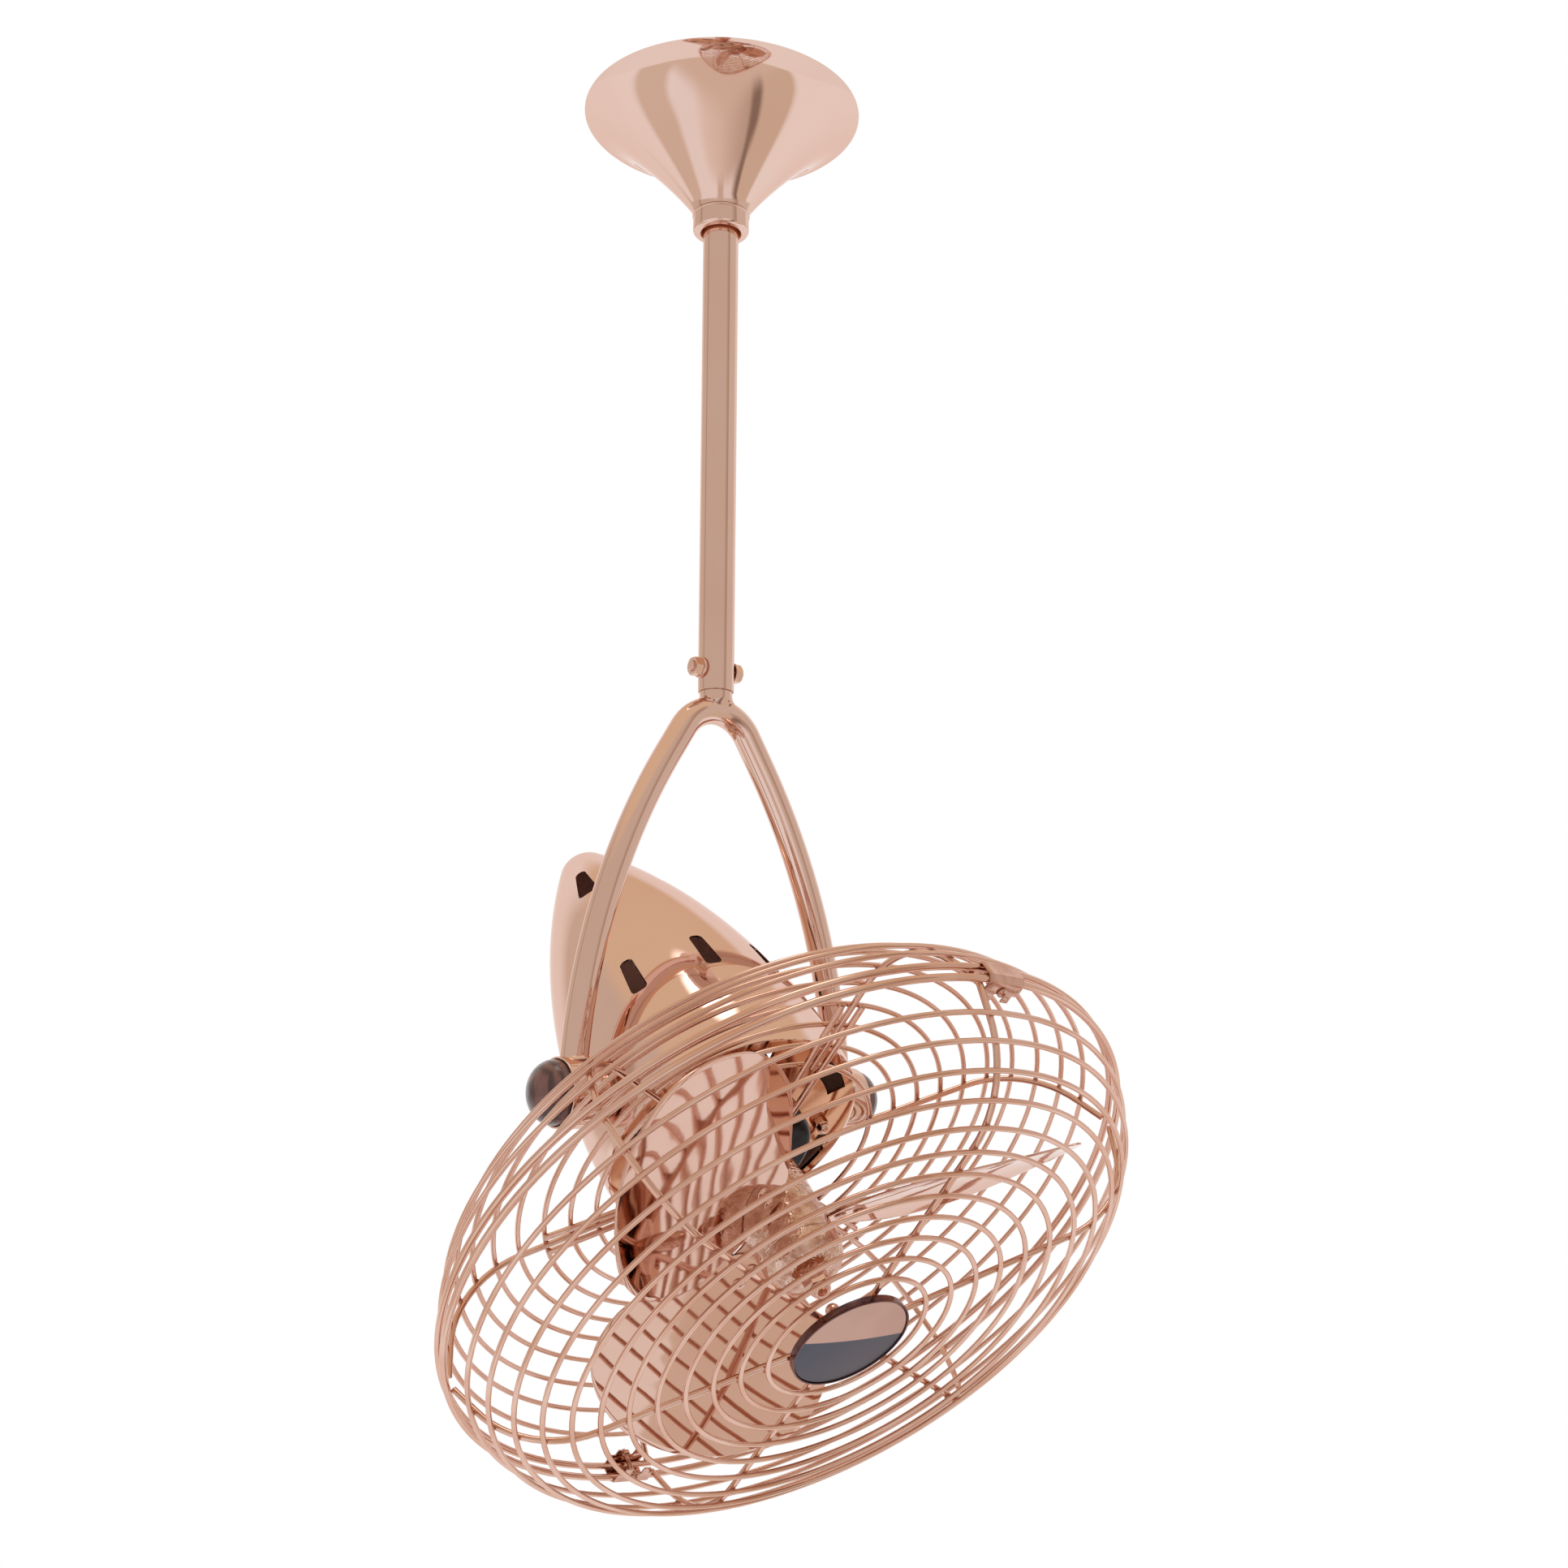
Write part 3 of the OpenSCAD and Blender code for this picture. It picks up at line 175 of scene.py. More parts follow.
floor_white = 0.88
bpy.ops.mesh.primitive_circle_add(vertices=96, radius=2.2, fill_type="NGON", location=1.8 * ahead - 2.6 * up)
floor = bpy.context.object
floor.name = "studio_floor"
floor_paint, floor_tree, floor_body = new_paint("pale_floor", {
    "Base Color": (0.86, 0.86, 0.86), "Roughness": 0.7})
floor_mix = wired(floor_tree, "MixShader", "Shader", {
    "Fac": maths(floor_tree, "MULTIPLY", maths(floor_tree, "MAXIMUM", *rays_seen(floor_tree)), floor_white),
    1: floor_body.outputs["BSDF"],
    2: wired(floor_tree, "Emission", "Emission")})
fed(floor_tree, floor_tree.nodes["Material Output"].inputs["Surface"], floor_mix)
floor.data.materials.append(floor_paint)

for lamp_name, spot, aim, size, watts in (
        ("left_lamp", (-1.9, -1.1, 0.9), (0, 0, -0.5), 2.2, 7),
        ("right_lamp", (1.9, -1.4, 0.1), (0, 0, -0.6), 2.2, 4)):
    bpy.ops.object.light_add(type="AREA", location=spot)
    lamp = bpy.context.object
    lamp.name = lamp_name
    lamp.data.size = size
    lamp.data.energy = watts
    lamp.visible_glossy = False
    lamp.rotation_euler = (Vector(aim) - Vector(spot)).to_track_quat("-Z", "Y").to_euler()

# Copper finish: every bright part is steel or aluminium plated with copper, buffed and lacquered.
# Buffing leaves a slight waviness, cloudy lacquer and hair-fine scratches, which one node group makes.
mm = 0.001
buffed = bpy.data.node_groups.new("buffed", "ShaderNodeTree")
for label, kind, value in (
        ("Tone", "Color", (0.78, 0.565, 0.49, 1)), ("Low Tone", "Color", (0.7, 0.48, 0.4, 1)),
        ("Cloud Size", "Float", 14), ("Least Roughness", "Float", 0.04), ("Smudge", "Float", 0.05),
        ("Wave Size", "Float", 25), ("Wave", "Float", 5e-5), ("Grain Size", "Float", 900),
        ("Grain", "Float", 1e-6), ("Stretch", "Vector", (1, 1, 1))):
    socket = buffed.interface.new_socket(name=label, in_out="INPUT", socket_type="NodeSocket" + kind)
    socket.default_value = value
for label, kind in (("Colour", "Color"), ("Roughness", "Float"), ("Normal", "Vector")):
    buffed.interface.new_socket(name=label, in_out="OUTPUT", socket_type="NodeSocket" + kind)
given, given_out = buffed.nodes.new("NodeGroupInput").outputs, buffed.nodes.new("NodeGroupOutput").inputs
on_piece = wired(buffed, "TexCoord", "Object")
stretched = wired(buffed, "Mapping", "Vector", {"Vector": on_piece, "Scale": given["Stretch"]})


def mottle(size, detail, source):
    return wired(buffed, "TexNoise", "Fac", {"Vector": source, "Scale": given[size], "Detail": detail})


def spread(value, low, high, least, most):
    return wired(buffed, "MapRange", "Result", {
        "Value": value, "From Min": low, "From Max": high, "To Min": least, "To Max": most})


cloudy, grained = mottle("Cloud Size", 3, on_piece), mottle("Grain Size", 2, stretched)
toned = wired(buffed, "Mix", "Result", {
    "Factor": spread(cloudy, 0.38, 0.68, 0, 1), "A": given["Tone"], "B": given["Low Tone"]}, data_type="RGBA")
smeared = maths(buffed, "MULTIPLY", spread(grained, 0.35, 0.75, 0.4, 1), spread(cloudy, 0.35, 0.7, 0.1, 1))
rough = maths(buffed, "ADD", given["Least Roughness"], maths(buffed, "MULTIPLY", smeared, given["Smudge"]))
waved = maths(buffed, "MULTIPLY", mottle("Wave Size", 1, on_piece), given["Wave"])
scuffed = maths(buffed, "MULTIPLY", grained, given["Grain"])
uneven = wired(buffed, "Bump", "Normal", {"Distance": 1, "Height": maths(buffed, "ADD", waved, scuffed)})
for label, value in (("Colour", toned), ("Roughness", rough), ("Normal", uneven)):
    fed(buffed, given_out[label], value)


def finish(name, tone, low_tone, metallic=1, coat=0, **settings):
    """A material of two clouded tones; the settings are those of the buffed group"""
    plugs = {"Metallic": metallic, "Coat Weight": coat, "Coat Roughness": 0.05}
    if metallic:
        plugs["Specular Tint"] = (0.9, 0.76, 0.7)
    paint, tree, surface = new_paint(name, plugs)
    group = tree.nodes.new("ShaderNodeGroup")
    group.node_tree = buffed
    for label, value in {"Tone": tone, "Low_Tone": low_tone, **settings}.items():
        fed(tree, group.inputs[label.replace("_", " ")], value)
    for label, plug in (("Colour", "Base Color"), ("Roughness", "Roughness"), ("Normal", "Normal")):
        fed(tree, surface.inputs[plug], group.outputs[label])
    return paint


copper = finish("bright_copper", (0.78, 0.565, 0.49), (0.765, 0.54, 0.46), Smudge=0.04,
                Least_Roughness=0.035, Wave_Size=9, Wave=2e-5, Grain=4e-7)
wire_copper = finish("wire_copper", (0.77, 0.53, 0.44), (0.68, 0.41, 0.31), Cloud_Size=22, Smudge=0.07,
                     Least_Roughness=0.05, Wave_Size=60, Wave=3e-5, Grain=2e-6)


# Down rod: a thin tube of 21.3 mm, plated and polished, from the hanger ball down to the yoke's neck.
# It is turned from its section, with the sharp edges of both cut ends broken.
def eased(corners, closed=True, parts=4):
    """An outline in which each corner that has a third value is rounded by that radius"""
    path = []
    for i, corner in enumerate(corners):
        here = Vector(corner[:2])
        ease = corner[2] if len(corner) > 2 else 0
        if not ease or (not closed and i in (0, len(corners) - 1)):
            path.append(here)
            continue
        before = Vector(corners[i - 1][:2]) - here
        after = Vector(corners[(i + 1) % len(corners)][:2]) - here
        half = before.angle(after) / 2
        back = min(ease / tan(half), before.length * 0.49, after.length * 0.49)
        ways = before.normalized(), after.normalized()
        centre = here + (ways[0] + ways[1]).normalized() * back / cos(half)
        start = here + ways[0] * back - centre
        sweep = start.angle_signed(here + ways[1] * back - centre)
        path += [centre + Matrix.Rotation(-sweep * k / parts, 2) @ start for k in range(parts + 1)]
    return path


def mode(kind):
    bpy.ops.object.mode_set(mode=kind)


def all_picked():
    mode("EDIT")
    bpy.ops.mesh.select_all(action="SELECT")


def chained(name, path):
    """Join path points by edges, one extrude after another, in millimetres in the X-Z plane"""
    bpy.ops.mesh.primitive_plane_add(size=mm, location=(path[0][0] * mm, 0, path[0][1] * mm))
    piece = bpy.context.object
    piece.name = name
    mode("EDIT")
    bpy.ops.mesh.merge(type="CENTER")
    for here, there in zip(path, path[1:]):
        step = ((there[0] - here[0]) * mm, 0, (there[1] - here[1]) * mm)
        bpy.ops.mesh.extrude_vertices_move(TRANSFORM_OT_translate={"value": step})
    return piece


def smoothed(piece, sharp, seat=Matrix()):
    """Close doubles, turn faces outwards, put the place into the mesh and round the shading"""
    all_picked()
    bpy.ops.mesh.remove_doubles(threshold=4e-6)
    bpy.ops.mesh.normals_make_consistent()
    mode("OBJECT")
    bpy.context.view_layer.update()
    piece.data.transform(seat @ piece.matrix_world)
    piece.matrix_world = Matrix()
    bpy.ops.object.shade_smooth_by_angle(angle=radians(sharp))
    return piece


def spun(steps, angle=tau, x=0, z=0, axis=(0, 0, 1)):
    bpy.ops.mesh.spin(steps=steps, angle=angle, center=(x * mm, 0, z * mm), axis=axis)


def turned(name, outline, seat=Matrix(), steps=96, closed=True, sharp=32):
    """Turn an outline of (radius, height) points about the axis of its seat, as on a lathe"""
    piece = chained(name, outline + outline[:1] if closed else outline)
    all_picked()
    spun(steps)
    return smoothed(piece, sharp, seat)


def coated(piece, *finishes):
    for finish_of in finishes:
        piece.data.materials.append(finish_of)
    return piece


def fitted(piece, body, node, *finishes):
    """Give a piece its finishes and its body, and let it stand for a node of the fixed frame"""
    coated(piece, *finishes)
    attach(piece, body)
    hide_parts(node)


def refinished(coat_of, *nodes):
    """Nodes of the fixed frame that keep their shape and take a finish"""
    for node in nodes:
        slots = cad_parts[node].data.materials
        slots.clear()
        slots.append(coat_of)


rod_out, rod_in, rod_top, rod_end = 10.65, 9.65, -6, -354
rod = turned("polished_rod", eased([
    (rod_out, rod_top, 0.3), (rod_out, rod_end, 0.35), (rod_in, rod_end, 0.2), (rod_in, rod_top, 0.2)]))
fitted(rod, "root", "downrod", copper)


# Canopy: a spun sheet trumpet of 1.2 mm that hides the ceiling bracket, with its rim just off the ceiling.
# Its flare is a cubic curve from the rim to the neck, and the wall is set off square to that curve.
def bezier(a, b, c, d, t):
    """The point at t on a cubic curve from a to d that b and c pull on"""
    return (1 - t) ** 3 * a + 3 * (1 - t) ** 2 * t * b + 3 * (1 - t) * t ** 2 * c + t ** 3 * d


def heading(angle):
    return Vector((cos(angle), sin(angle)))


canopy_wall, rim_y = 1.2, -0.3
rim_at, neck_at = Vector((82.8, rim_y)), Vector((18.3, -58))
rim_pull = rim_at - 18 * heading(radians(15))
neck_pull = neck_at + 17 * heading(radians(55))
flare, lining = [], []
for t in (k / 48 for k in range(49)):
    spot = bezier(rim_at, rim_pull, neck_pull, neck_at, t)
    way = ((1 - t) ** 2 * (rim_pull - rim_at) + 2 * (1 - t) * t * (neck_pull - rim_pull)
           + t ** 2 * (neck_at - neck_pull)).normalized()
    flare.append(spot)
    inner = spot + canopy_wall * Vector((way.y, -way.x))
    if -56.8 < inner.y < -0.5:
        lining.append(inner)
lip = [Vector(point) for point in (
    (17.65, -59.5), (17.25, -60.8), (17.05, -61.4), (16.7, -61.6), (15.9, -61.6), (15.9, -58.4), (17.2, -56.9))]
canopy = turned("canopy_flare", flare + lip + lining[::-1] + [Vector((lining[0].x + 0.3, rim_y))], steps=160)
fitted(canopy, "canopy", "canopy", copper)

# Collar under the canopy: a turned cup that is clamped on the rod by a rubber ring and a grub screw.
# A fine bead runs round its top, its lower edge is well rounded, and dull red rubber lines its mouth; the rubber
# is given a far lighter tone than its own, painted light in that shaded mouth.
# Painted light: the rubber's tone is much lighter than red rubber, so the collar's shaded mouth does not go
# black.
rubber_with_painted_light = finish("red_rubber_painted_light", (0.85, 0.36, 0.18), (0.7, 0.28, 0.14), metallic=0, Least_Roughness=0.45,
                Smudge=0.2, Wave=0, Grain=2e-5, Grain_Size=700)


def darkened_inside(piece):
    """Faces that look towards the piece's own axis take its second finish"""
    for face in piece.data.polygons:
        out = Vector((face.center.x, face.center.y, 0))
        if face.normal.dot(out.normalized() if out.length > 1e-5 else up) < -0.3:
            face.material_index = 1


collar = turned("canopy_cup", eased([
    (15.8, -61.7), (17.3, -61.75, 0.25), (17.3, -62.8, 0.3), (16.85, -63), (16.85, -73.2, 3.4), (12, -73.2, 0.7),
    (12, -67.5), (12.85, -67.5), (12.85, -55.3), (17.5, -55.3, 0.2), (17.5, -56.75), (15.8, -56.75)], parts=6))
darkened_inside(coated(collar, copper, rubber_with_painted_light))
fitted(collar, "canopy", "canopy_collar")
refinished(rubber_with_painted_light, "canopy_grip_ring")

# Ceiling bracket: a zinc-plated strap that cradles a plastic ball on a steel pin, and a porcelain terminal
# block with brass screws. All of it is hidden inside the canopy.
zinc = finish("zinc_plate", (0.62, 0.62, 0.63), (0.5, 0.51, 0.53), Cloud_Size=60, Least_Roughness=0.25,
              Smudge=0.2, Grain=6e-6, Grain_Size=400)
steel = finish("turned_steel", (0.58, 0.58, 0.6), (0.48, 0.48, 0.5), Cloud_Size=80, Least_Roughness=0.18,
               Smudge=0.15, Grain=4e-6, Grain_Size=300, Stretch=(1, 1, 9))
ball_plastic = finish("ball_plastic", (0.02, 0.02, 0.022), (0.03, 0.03, 0.03), metallic=0, Least_Roughness=0.3,
                      Smudge=0.2, Wave=0, Grain=8e-6)
porcelain = finish("porcelain", (0.86, 0.84, 0.78), (0.8, 0.77, 0.7), metallic=0, coat=0.5,
                   Least_Roughness=0.3, Smudge=0.15, Cloud_Size=90, Grain=6e-6, Grain_Size=500)
brass = finish("brass", (0.8, 0.6, 0.28), (0.66, 0.47, 0.2), Cloud_Size=120, Least_Roughness=0.2,
               Smudge=0.2, Grain=4e-6, Grain_Size=600)
refinished(zinc, "ceiling_bracket")
refinished(steel, "hanger_pin", "collar_grub_screw")
refinished(ball_plastic, "hanger_ball")
refinished(porcelain, "terminal_block")
refinished(brass, "terminal_screws")


# Yoke: one 16 mm tube bent to a round crown and two long arms, welded to a neck tube that goes up the rod.
# It is drawn from the right collar up over the crown and down to the left one.
def section(sides, radius, x, z, rotation=(0, 0, 0), fill_type="NOTHING"):
    """A round section of tube or wire, picked and ready to be drawn along its way"""
    bpy.ops.mesh.primitive_circle_add(vertices=sides, radius=radius * mm, rotation=rotation,
                                      location=(x * mm, 0, z * mm), fill_type=fill_type)
    mode("EDIT")
    return bpy.context.object


def extruded(x, y, z):
    bpy.ops.mesh.extrude_region_move(TRANSFORM_OT_translate={"value": (x * mm, y * mm, z * mm)})


def leaning(angle):
    return Vector((sin(angle), cos(angle)))


tube_r, crown_r, arm_r, crown_turn = 8, 27.3, 399, radians(57.8)
crown_top, collar_mid, pivot_z = -365.5, 94.5, -592.5
crown_sin, crown_cos = sin(crown_turn), cos(crown_turn)
straight = (collar_mid - arm_r * (1 - crown_sin) - crown_r * crown_sin) / crown_cos
run_end = Vector((crown_r * crown_sin + straight * crown_cos,
                  crown_top - crown_r * (1 - crown_cos) - straight * crown_sin))
arm_centre = run_end - arm_r * leaning(crown_turn)
arm_foot = asin((pivot_z + 8 - arm_centre.y) / arm_r)
arm_bend = pi / 2 - crown_turn - arm_foot
fork = section(32, tube_r, arm_centre.x + arm_r * cos(arm_foot), arm_centre.y + arm_r * sin(arm_foot),
               rotation=(0, -arm_foot, 0))
fork.name = "bent_yoke"
spun(40, arm_bend, arm_centre.x, arm_centre.y, (0, 1, 0))
extruded(-straight * crown_cos, 0, straight * crown_sin)
spun(48, 2 * crown_turn, 0, crown_top - crown_r, (0, 1, 0))
extruded(-straight * crown_cos, 0, -straight * crown_sin)
spun(40, arm_bend, -arm_centre.x, arm_centre.y, (0, 1, 0))
fitted(smoothed(fork, 40), "root", "yoke_fork", copper)

# Neck: a tube that stands in the rod and carries the yoke. A thin dark ring above it, where the rod ends, is
# painted shadow of the gap between rod and neck.
# Dark copper for the welds' heat tint, also used as painted shade for the ring at the rod's end and for the
# beads at the cage's crossings.
weld_tint_and_painted_shade = finish("weld_tint_and_painted_shade", (0.5, 0.3, 0.23), (0.26, 0.14, 0.11), Cloud_Size=180,
                     Least_Roughness=0.12, Smudge=0.25, Wave_Size=300, Wave=0.0003)
neck_r, neck_in, neck_top, neck_end = 9.7, 8.05, -315, -357.5
neck_tube = turned("neck_tube", eased([(neck_r, neck_top), (neck_r, neck_end), (neck_in, neck_end),
                                       (neck_in, neck_top)]), steps=64)
fitted(neck_tube, "root", "yoke_neck", copper)
# Painted shadow: a thin dark ring in the gap where the rod ends over the neck.
painted_gap_shadow = turned("rod_end_painted_shadow", [
    (neck_r, -353.6), (10.5, -353.7), (10.35, -354.35), (neck_r, -354.5)], steps=64)
coated(painted_gap_shadow, weld_tint_and_painted_shade)
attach(painted_gap_shadow, "root")


# Weld at the crown: the neck is coped onto the bent tube and its fillet is ground smooth, apart from a few
# lumps on the left. Each ring of the fillet runs from the neck's round to a saddle line on the tube.
def bead(spot, size):
    """A small uneven lump of weld, in millimetres"""
    bpy.ops.mesh.primitive_uv_sphere_add(segments=10, ring_count=6, radius=mm, location=Vector(spot) * mm)
    mode("EDIT")
    bpy.ops.transform.resize(value=size)
    bpy.ops.transform.vertex_random(offset=8e-5, seed=round(abs(spot[0]) * 7 + abs(spot[2])))
    return coated(smoothed(bpy.context.object, 80), weld_tint_and_painted_shade)


def chosen(*parts):
    """Select these pieces and nothing else, the first as the active one"""
    bpy.ops.object.select_all(action="DESELECT")
    for part in parts:
        part.select_set(True)
    bpy.context.view_layer.objects.active = parts[0]


def joined(name, parts):
    chosen(*parts)
    bpy.ops.object.join()
    parts[0].name = name
    return parts[0]


weld_top, weld_rows = -356, 10
fillet = section(64, neck_r, 0, weld_top)
for _ in range(weld_rows):
    bpy.ops.mesh.extrude_edges_move(TRANSFORM_OT_translate={"value": (0, 0, -mm)})
mode("OBJECT")
for corner in fillet.data.vertices:
    row = round(-corner.co.z / mm)
    angle = atan2(corner.co.y, corner.co.x)
    start = Vector((neck_r * cos(angle), neck_r * sin(angle), weld_top))
    landing = Vector((15.5 * cos(angle), 7.7 * sin(angle), 0))
    ring_line = crown_top - crown_r + sqrt(crown_r ** 2 - landing.x ** 2)
    landing.z = ring_line + sqrt(tube_r ** 2 - landing.y ** 2) * 0.97
    low_pull = start.lerp(landing, 0.62) - 1.2 * abs(cos(angle)) * up
    corner.co = (bezier(start, start - 4.2 * up, low_pull, landing, row / weld_rows) - weld_top * up) * mm
crown_weld = [smoothed(coated(fillet, copper), 60)]
for turn, drop, width in (
        (200, -359.0, 1.3), (214, -360.4, 1.5), (188, -360.2, 1.1), (230, -361.2, 1.0), (176, -361.0, 1.0),
        (290, -360.6, 0.6), (302, -362.2, 0.7)):
    way = heading(radians(turn))
    crown_weld.append(bead((9.9 * way.x, 9.0 * way.y, drop), (width, width, width * 0.7)))
crown_weld = joined("crown_weld", crown_weld)
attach(crown_weld, "root")


# Pivot collars: two short housings welded to the arms' ends, each recessed on the outside for its knob.
# They are turned with soft edges, and a thin line of weld runs round each arm where it goes in.
def about(degrees, axis="Z"):
    return Matrix.Rotation(radians(degrees), 4, axis)


def placed(x, y, z):
    return Matrix.Translation((x * mm, y * mm, z * mm))


to_right, to_left = (placed(0, 0, pivot_z) @ about(turn, "Y") for turn in (90, -90))
collar_r, recess_r, stud_hole, collar_inner, collar_outer, recess_at = 19.8, 18.6, 4.05, 84.5, 104.5, 101.5
housing = eased([
    (stud_hole, collar_inner, 0.2), (collar_r, collar_inner, 1.2), (collar_r, collar_outer, 0.8),
    (recess_r, collar_outer, 0.3), (recess_r, recess_at, 0.3), (stud_hole, recess_at, 0.2)])
collars = [turned("right_housing", housing, to_right), turned("left_housing", housing, to_left)]
fitted(joined("pivot_housings", collars), "root", "pivot_collars", copper)
foot_welds = joined("arm_welds", [
    turned("arm_weld", eased([(7.6, -1.6), (9.4, -1.4, 0.5), (8.2, 0.9, 0.4), (7.6, 0.8)]),
           placed(side * 93.4, 0, -572.9) @ about(side * 4.8, "Y"), steps=40) for side in (-1, 1)])
coated(foot_welds, copper)
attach(foot_welds, "root")


# Cross bolt: an M6 bolt through rod and neck, its head on the right and its nut on the left, over washers.
# Hexagons are cut from a turned blank by a six-sided prism, which leaves their corners chamfered.
def carved(piece, block, sharp, operation="DIFFERENCE"):
    """Cut the piece by the block, drop the block and round the shading"""
    cut = piece.modifiers.new("cut", "BOOLEAN")
    cut.operation = operation
    cut.object = block
    chosen(piece)
    bpy.ops.object.modifier_apply(modifier=cut.name)
    bpy.data.objects.remove(block)
    bpy.ops.object.shade_smooth_by_angle(angle=radians(sharp))


def hexed(name, af, height, bore, seat, dome=0):
    """A hexagon nut or head standing on its seat; its top is domed by that much, or open over a bore"""
    corner = af / 2 / cos(pi / 6)
    drop = (corner - af / 2) * 0.6
    if dome:
        blank = [(0, 0), (af / 2, 0), (corner, drop), (corner, height - 0.6)]
        blank += [Vector((corner * 0.9 * cos(k * pi / 16), height + dome * sin(k * pi / 16)))
                  for k in range(9)]
    else:
        blank = eased([(bore, 0, 0.2), (af / 2, 0), (corner, drop), (corner, height - drop), (af / 2, height),
                       (bore, height, 0.3)], parts=2)
    nut = turned(name, blank, steps=48, closed=not dome)
    bpy.ops.mesh.primitive_cylinder_add(vertices=6, radius=corner * mm, depth=(height + 4 * dome + 2) * mm,
                                        location=(0, 0, (height + 4 * dome) / 2 * mm))
    carved(nut, bpy.context.object, 24, "INTERSECT")
    nut.data.transform(seat)
    return nut


bolt_z, washer_in, washer_out = -341, 10.7, 12.3
bolt_right, bolt_left = (placed(0, 0, bolt_z) @ about(turn, "Y") for turn in (90, -90))
washers = joined("bolt_washers", [turned("bolt_washer", eased([
    (3.2, washer_in, 0.2), (6.25, washer_in, 0.4), (6.25, washer_out, 0.5), (3.2, washer_out, 0.2)]),
    seat, steps=48) for seat in (bolt_right, bolt_left)])
fitted(washers, "root", "yoke_bolt_washers", copper)
shank = turned("bolt_shank", eased([(0, -19.05), (3, -19.05, 0.8), (3, washer_out), (0, washer_out)],
                                   closed=False), bolt_right, steps=32)
bolt_head = hexed("bolt_head", 10, 4, 0, bolt_right @ placed(0, 0, washer_out), dome=0.25)
fitted(joined("cross_bolt", [bolt_head, shank]), "root", "yoke_bolt", copper)
cross_nut = hexed("cross_nut", 10, 5, 3.05, bolt_left @ placed(0, 0, washer_out))
fitted(cross_nut, "root", "yoke_bolt_nut", copper)

# Tail: a spun shell of 1.2 mm that tapers from the seam to a small round nose, with two rows of vents.
# It is dull and dark inside, so that its vents look dark brown and the sheet's edge shows as a bright line.
head_turn = 135.6
head_seat = placed(0, 0, pivot_z) @ about(head_turn, "X")
dark_inside = finish("dark_inside", (0.72, 0.45, 0.38), (0.6, 0.36, 0.3), metallic=0, Cloud_Size=40,
                     Least_Roughness=0.45, Smudge=0.3, Wave=0, Grain=1e-5)
seam_at, band_r, barrel, apex = -31, 78.3, 305, 8


def band_radius(station):
    return band_r - barrel + sqrt(barrel ** 2 - (station - apex) ** 2)


seam_r, spigot = band_radius(seam_at) - 1.3, band_radius(seam_at) - 2.05
side_r, steep, round_from, sheet = 453, radians(6.6), radians(30), 1.2
side_centre = Vector((seam_r - side_r * cos(steep), seam_at + side_r * sin(steep)))
nose_start = side_centre + side_r * heading(-round_from)
nose_r = nose_start.x / cos(round_from)
nose_centre = nose_start.y + nose_r * sin(round_from)


def tail_path(inset, first):
    """The side and the nose of the shell, drawn in by an inset, from an angle at the seam to the tip"""
    side = [side_centre + (side_r - inset) * heading(-a)
            for a in (first + (round_from - first) * k / 56 for k in range(57))]
    nose = [Vector(((nose_r - inset) * cos(a), nose_centre - (nose_r - inset) * sin(a)))
            for a in (round_from + (pi / 2 - round_from) * k / 14 for k in range(1, 15))]
    return side + nose


tail = turned("tail_cowl", [
    (spigot - sheet, seam_at - 3), (spigot - sheet, seam_at + 6), (spigot, seam_at + 6), (spigot, seam_at)]
    + tail_path(0, steep) + tail_path(sheet, steep + radians(0.8))[::-1] + [(spigot - sheet, seam_at - 3)],
    steps=192, closed=False)


def edges_picked(piece, wanted):
    """Select the edges whose two ends pass the test, in world places, and go into edit mode"""
    mode("EDIT")
    bpy.ops.mesh.select_all(action="DESELECT")
    mode("OBJECT")
    bpy.context.view_layer.update()
    for edge in piece.data.edges:
        edge.select = wanted(*(piece.matrix_world @ piece.data.vertices[k].co for k in edge.vertices))
    bpy.context.tool_settings.mesh_select_mode = (False, True, False)
    mode("EDIT")


def corners_again():
    """Back to picking corners, which the extrudes of an outline need"""
    mode("OBJECT")
    bpy.context.tool_settings.mesh_select_mode = (True, False, False)


def slab(size, place):
    """A block with its middle at that place, in millimetres"""
    bpy.ops.mesh.primitive_cube_add(size=1)
    piece = bpy.context.object
    piece.scale = [length * mm for length in size]
    piece.location = [length * mm for length in place]
    bpy.ops.object.transform_apply()
    return piece


def softened(width, parts, everywhere=False):
    """Round the picked edges, or every edge"""
    if everywhere:
        all_picked()
    bpy.ops.mesh.bevel(offset=width * mm, segments=parts, affect="EDGES")


def vent_cutter(station, length, width_far, width_near, r_in, r_out, turn):
    """A rounded wedge that stands across the shell; its wide end lies towards the seam"""
    middle = station + length / 2
    wedge = slab((r_out - r_in, width_near, length), ((r_out + r_in) / 2, 0, middle))
    edges_picked(wedge, lambda a, b: max(a.z, b.z) < middle * mm)
    bpy.ops.transform.resize(value=(1, width_far / width_near, 1))
    edges_picked(wedge, lambda a, b: abs(a.x - b.x) > (r_out - r_in) * mm * 0.9)
    softened(3.1, 6)
    corners_again()
    wedge.data.transform(about(turn))
    return wedge


vents_l, vents_w, nose_vents_l, nose_vents_w = 28.5, 10.6, 32, 14
nose_vents_from = nose_centre - nose_r + 38.1
cutters = [vent_cutter(seam_at - 3.5 - vents_l, vents_l, vents_w * 0.76, vents_w, 57, 83, 104 + 36 * k)
           for k in range(10)]
cutters += [vent_cutter(nose_vents_from, nose_vents_l, nose_vents_w * 0.46, nose_vents_w, 12, 72, 141 + 72 * k)
            for k in range(5)]
carved(tail, joined("vent_block", cutters), 32)
darkened_inside(coated(tail, copper, dark_inside))
for face in tail.data.polygons:
    if face.normal.z > 0.5 and face.center.z < -0.18:
        face.material_index = 1
tail.data.transform(head_seat)
fitted(tail, "head", "tail_shell")

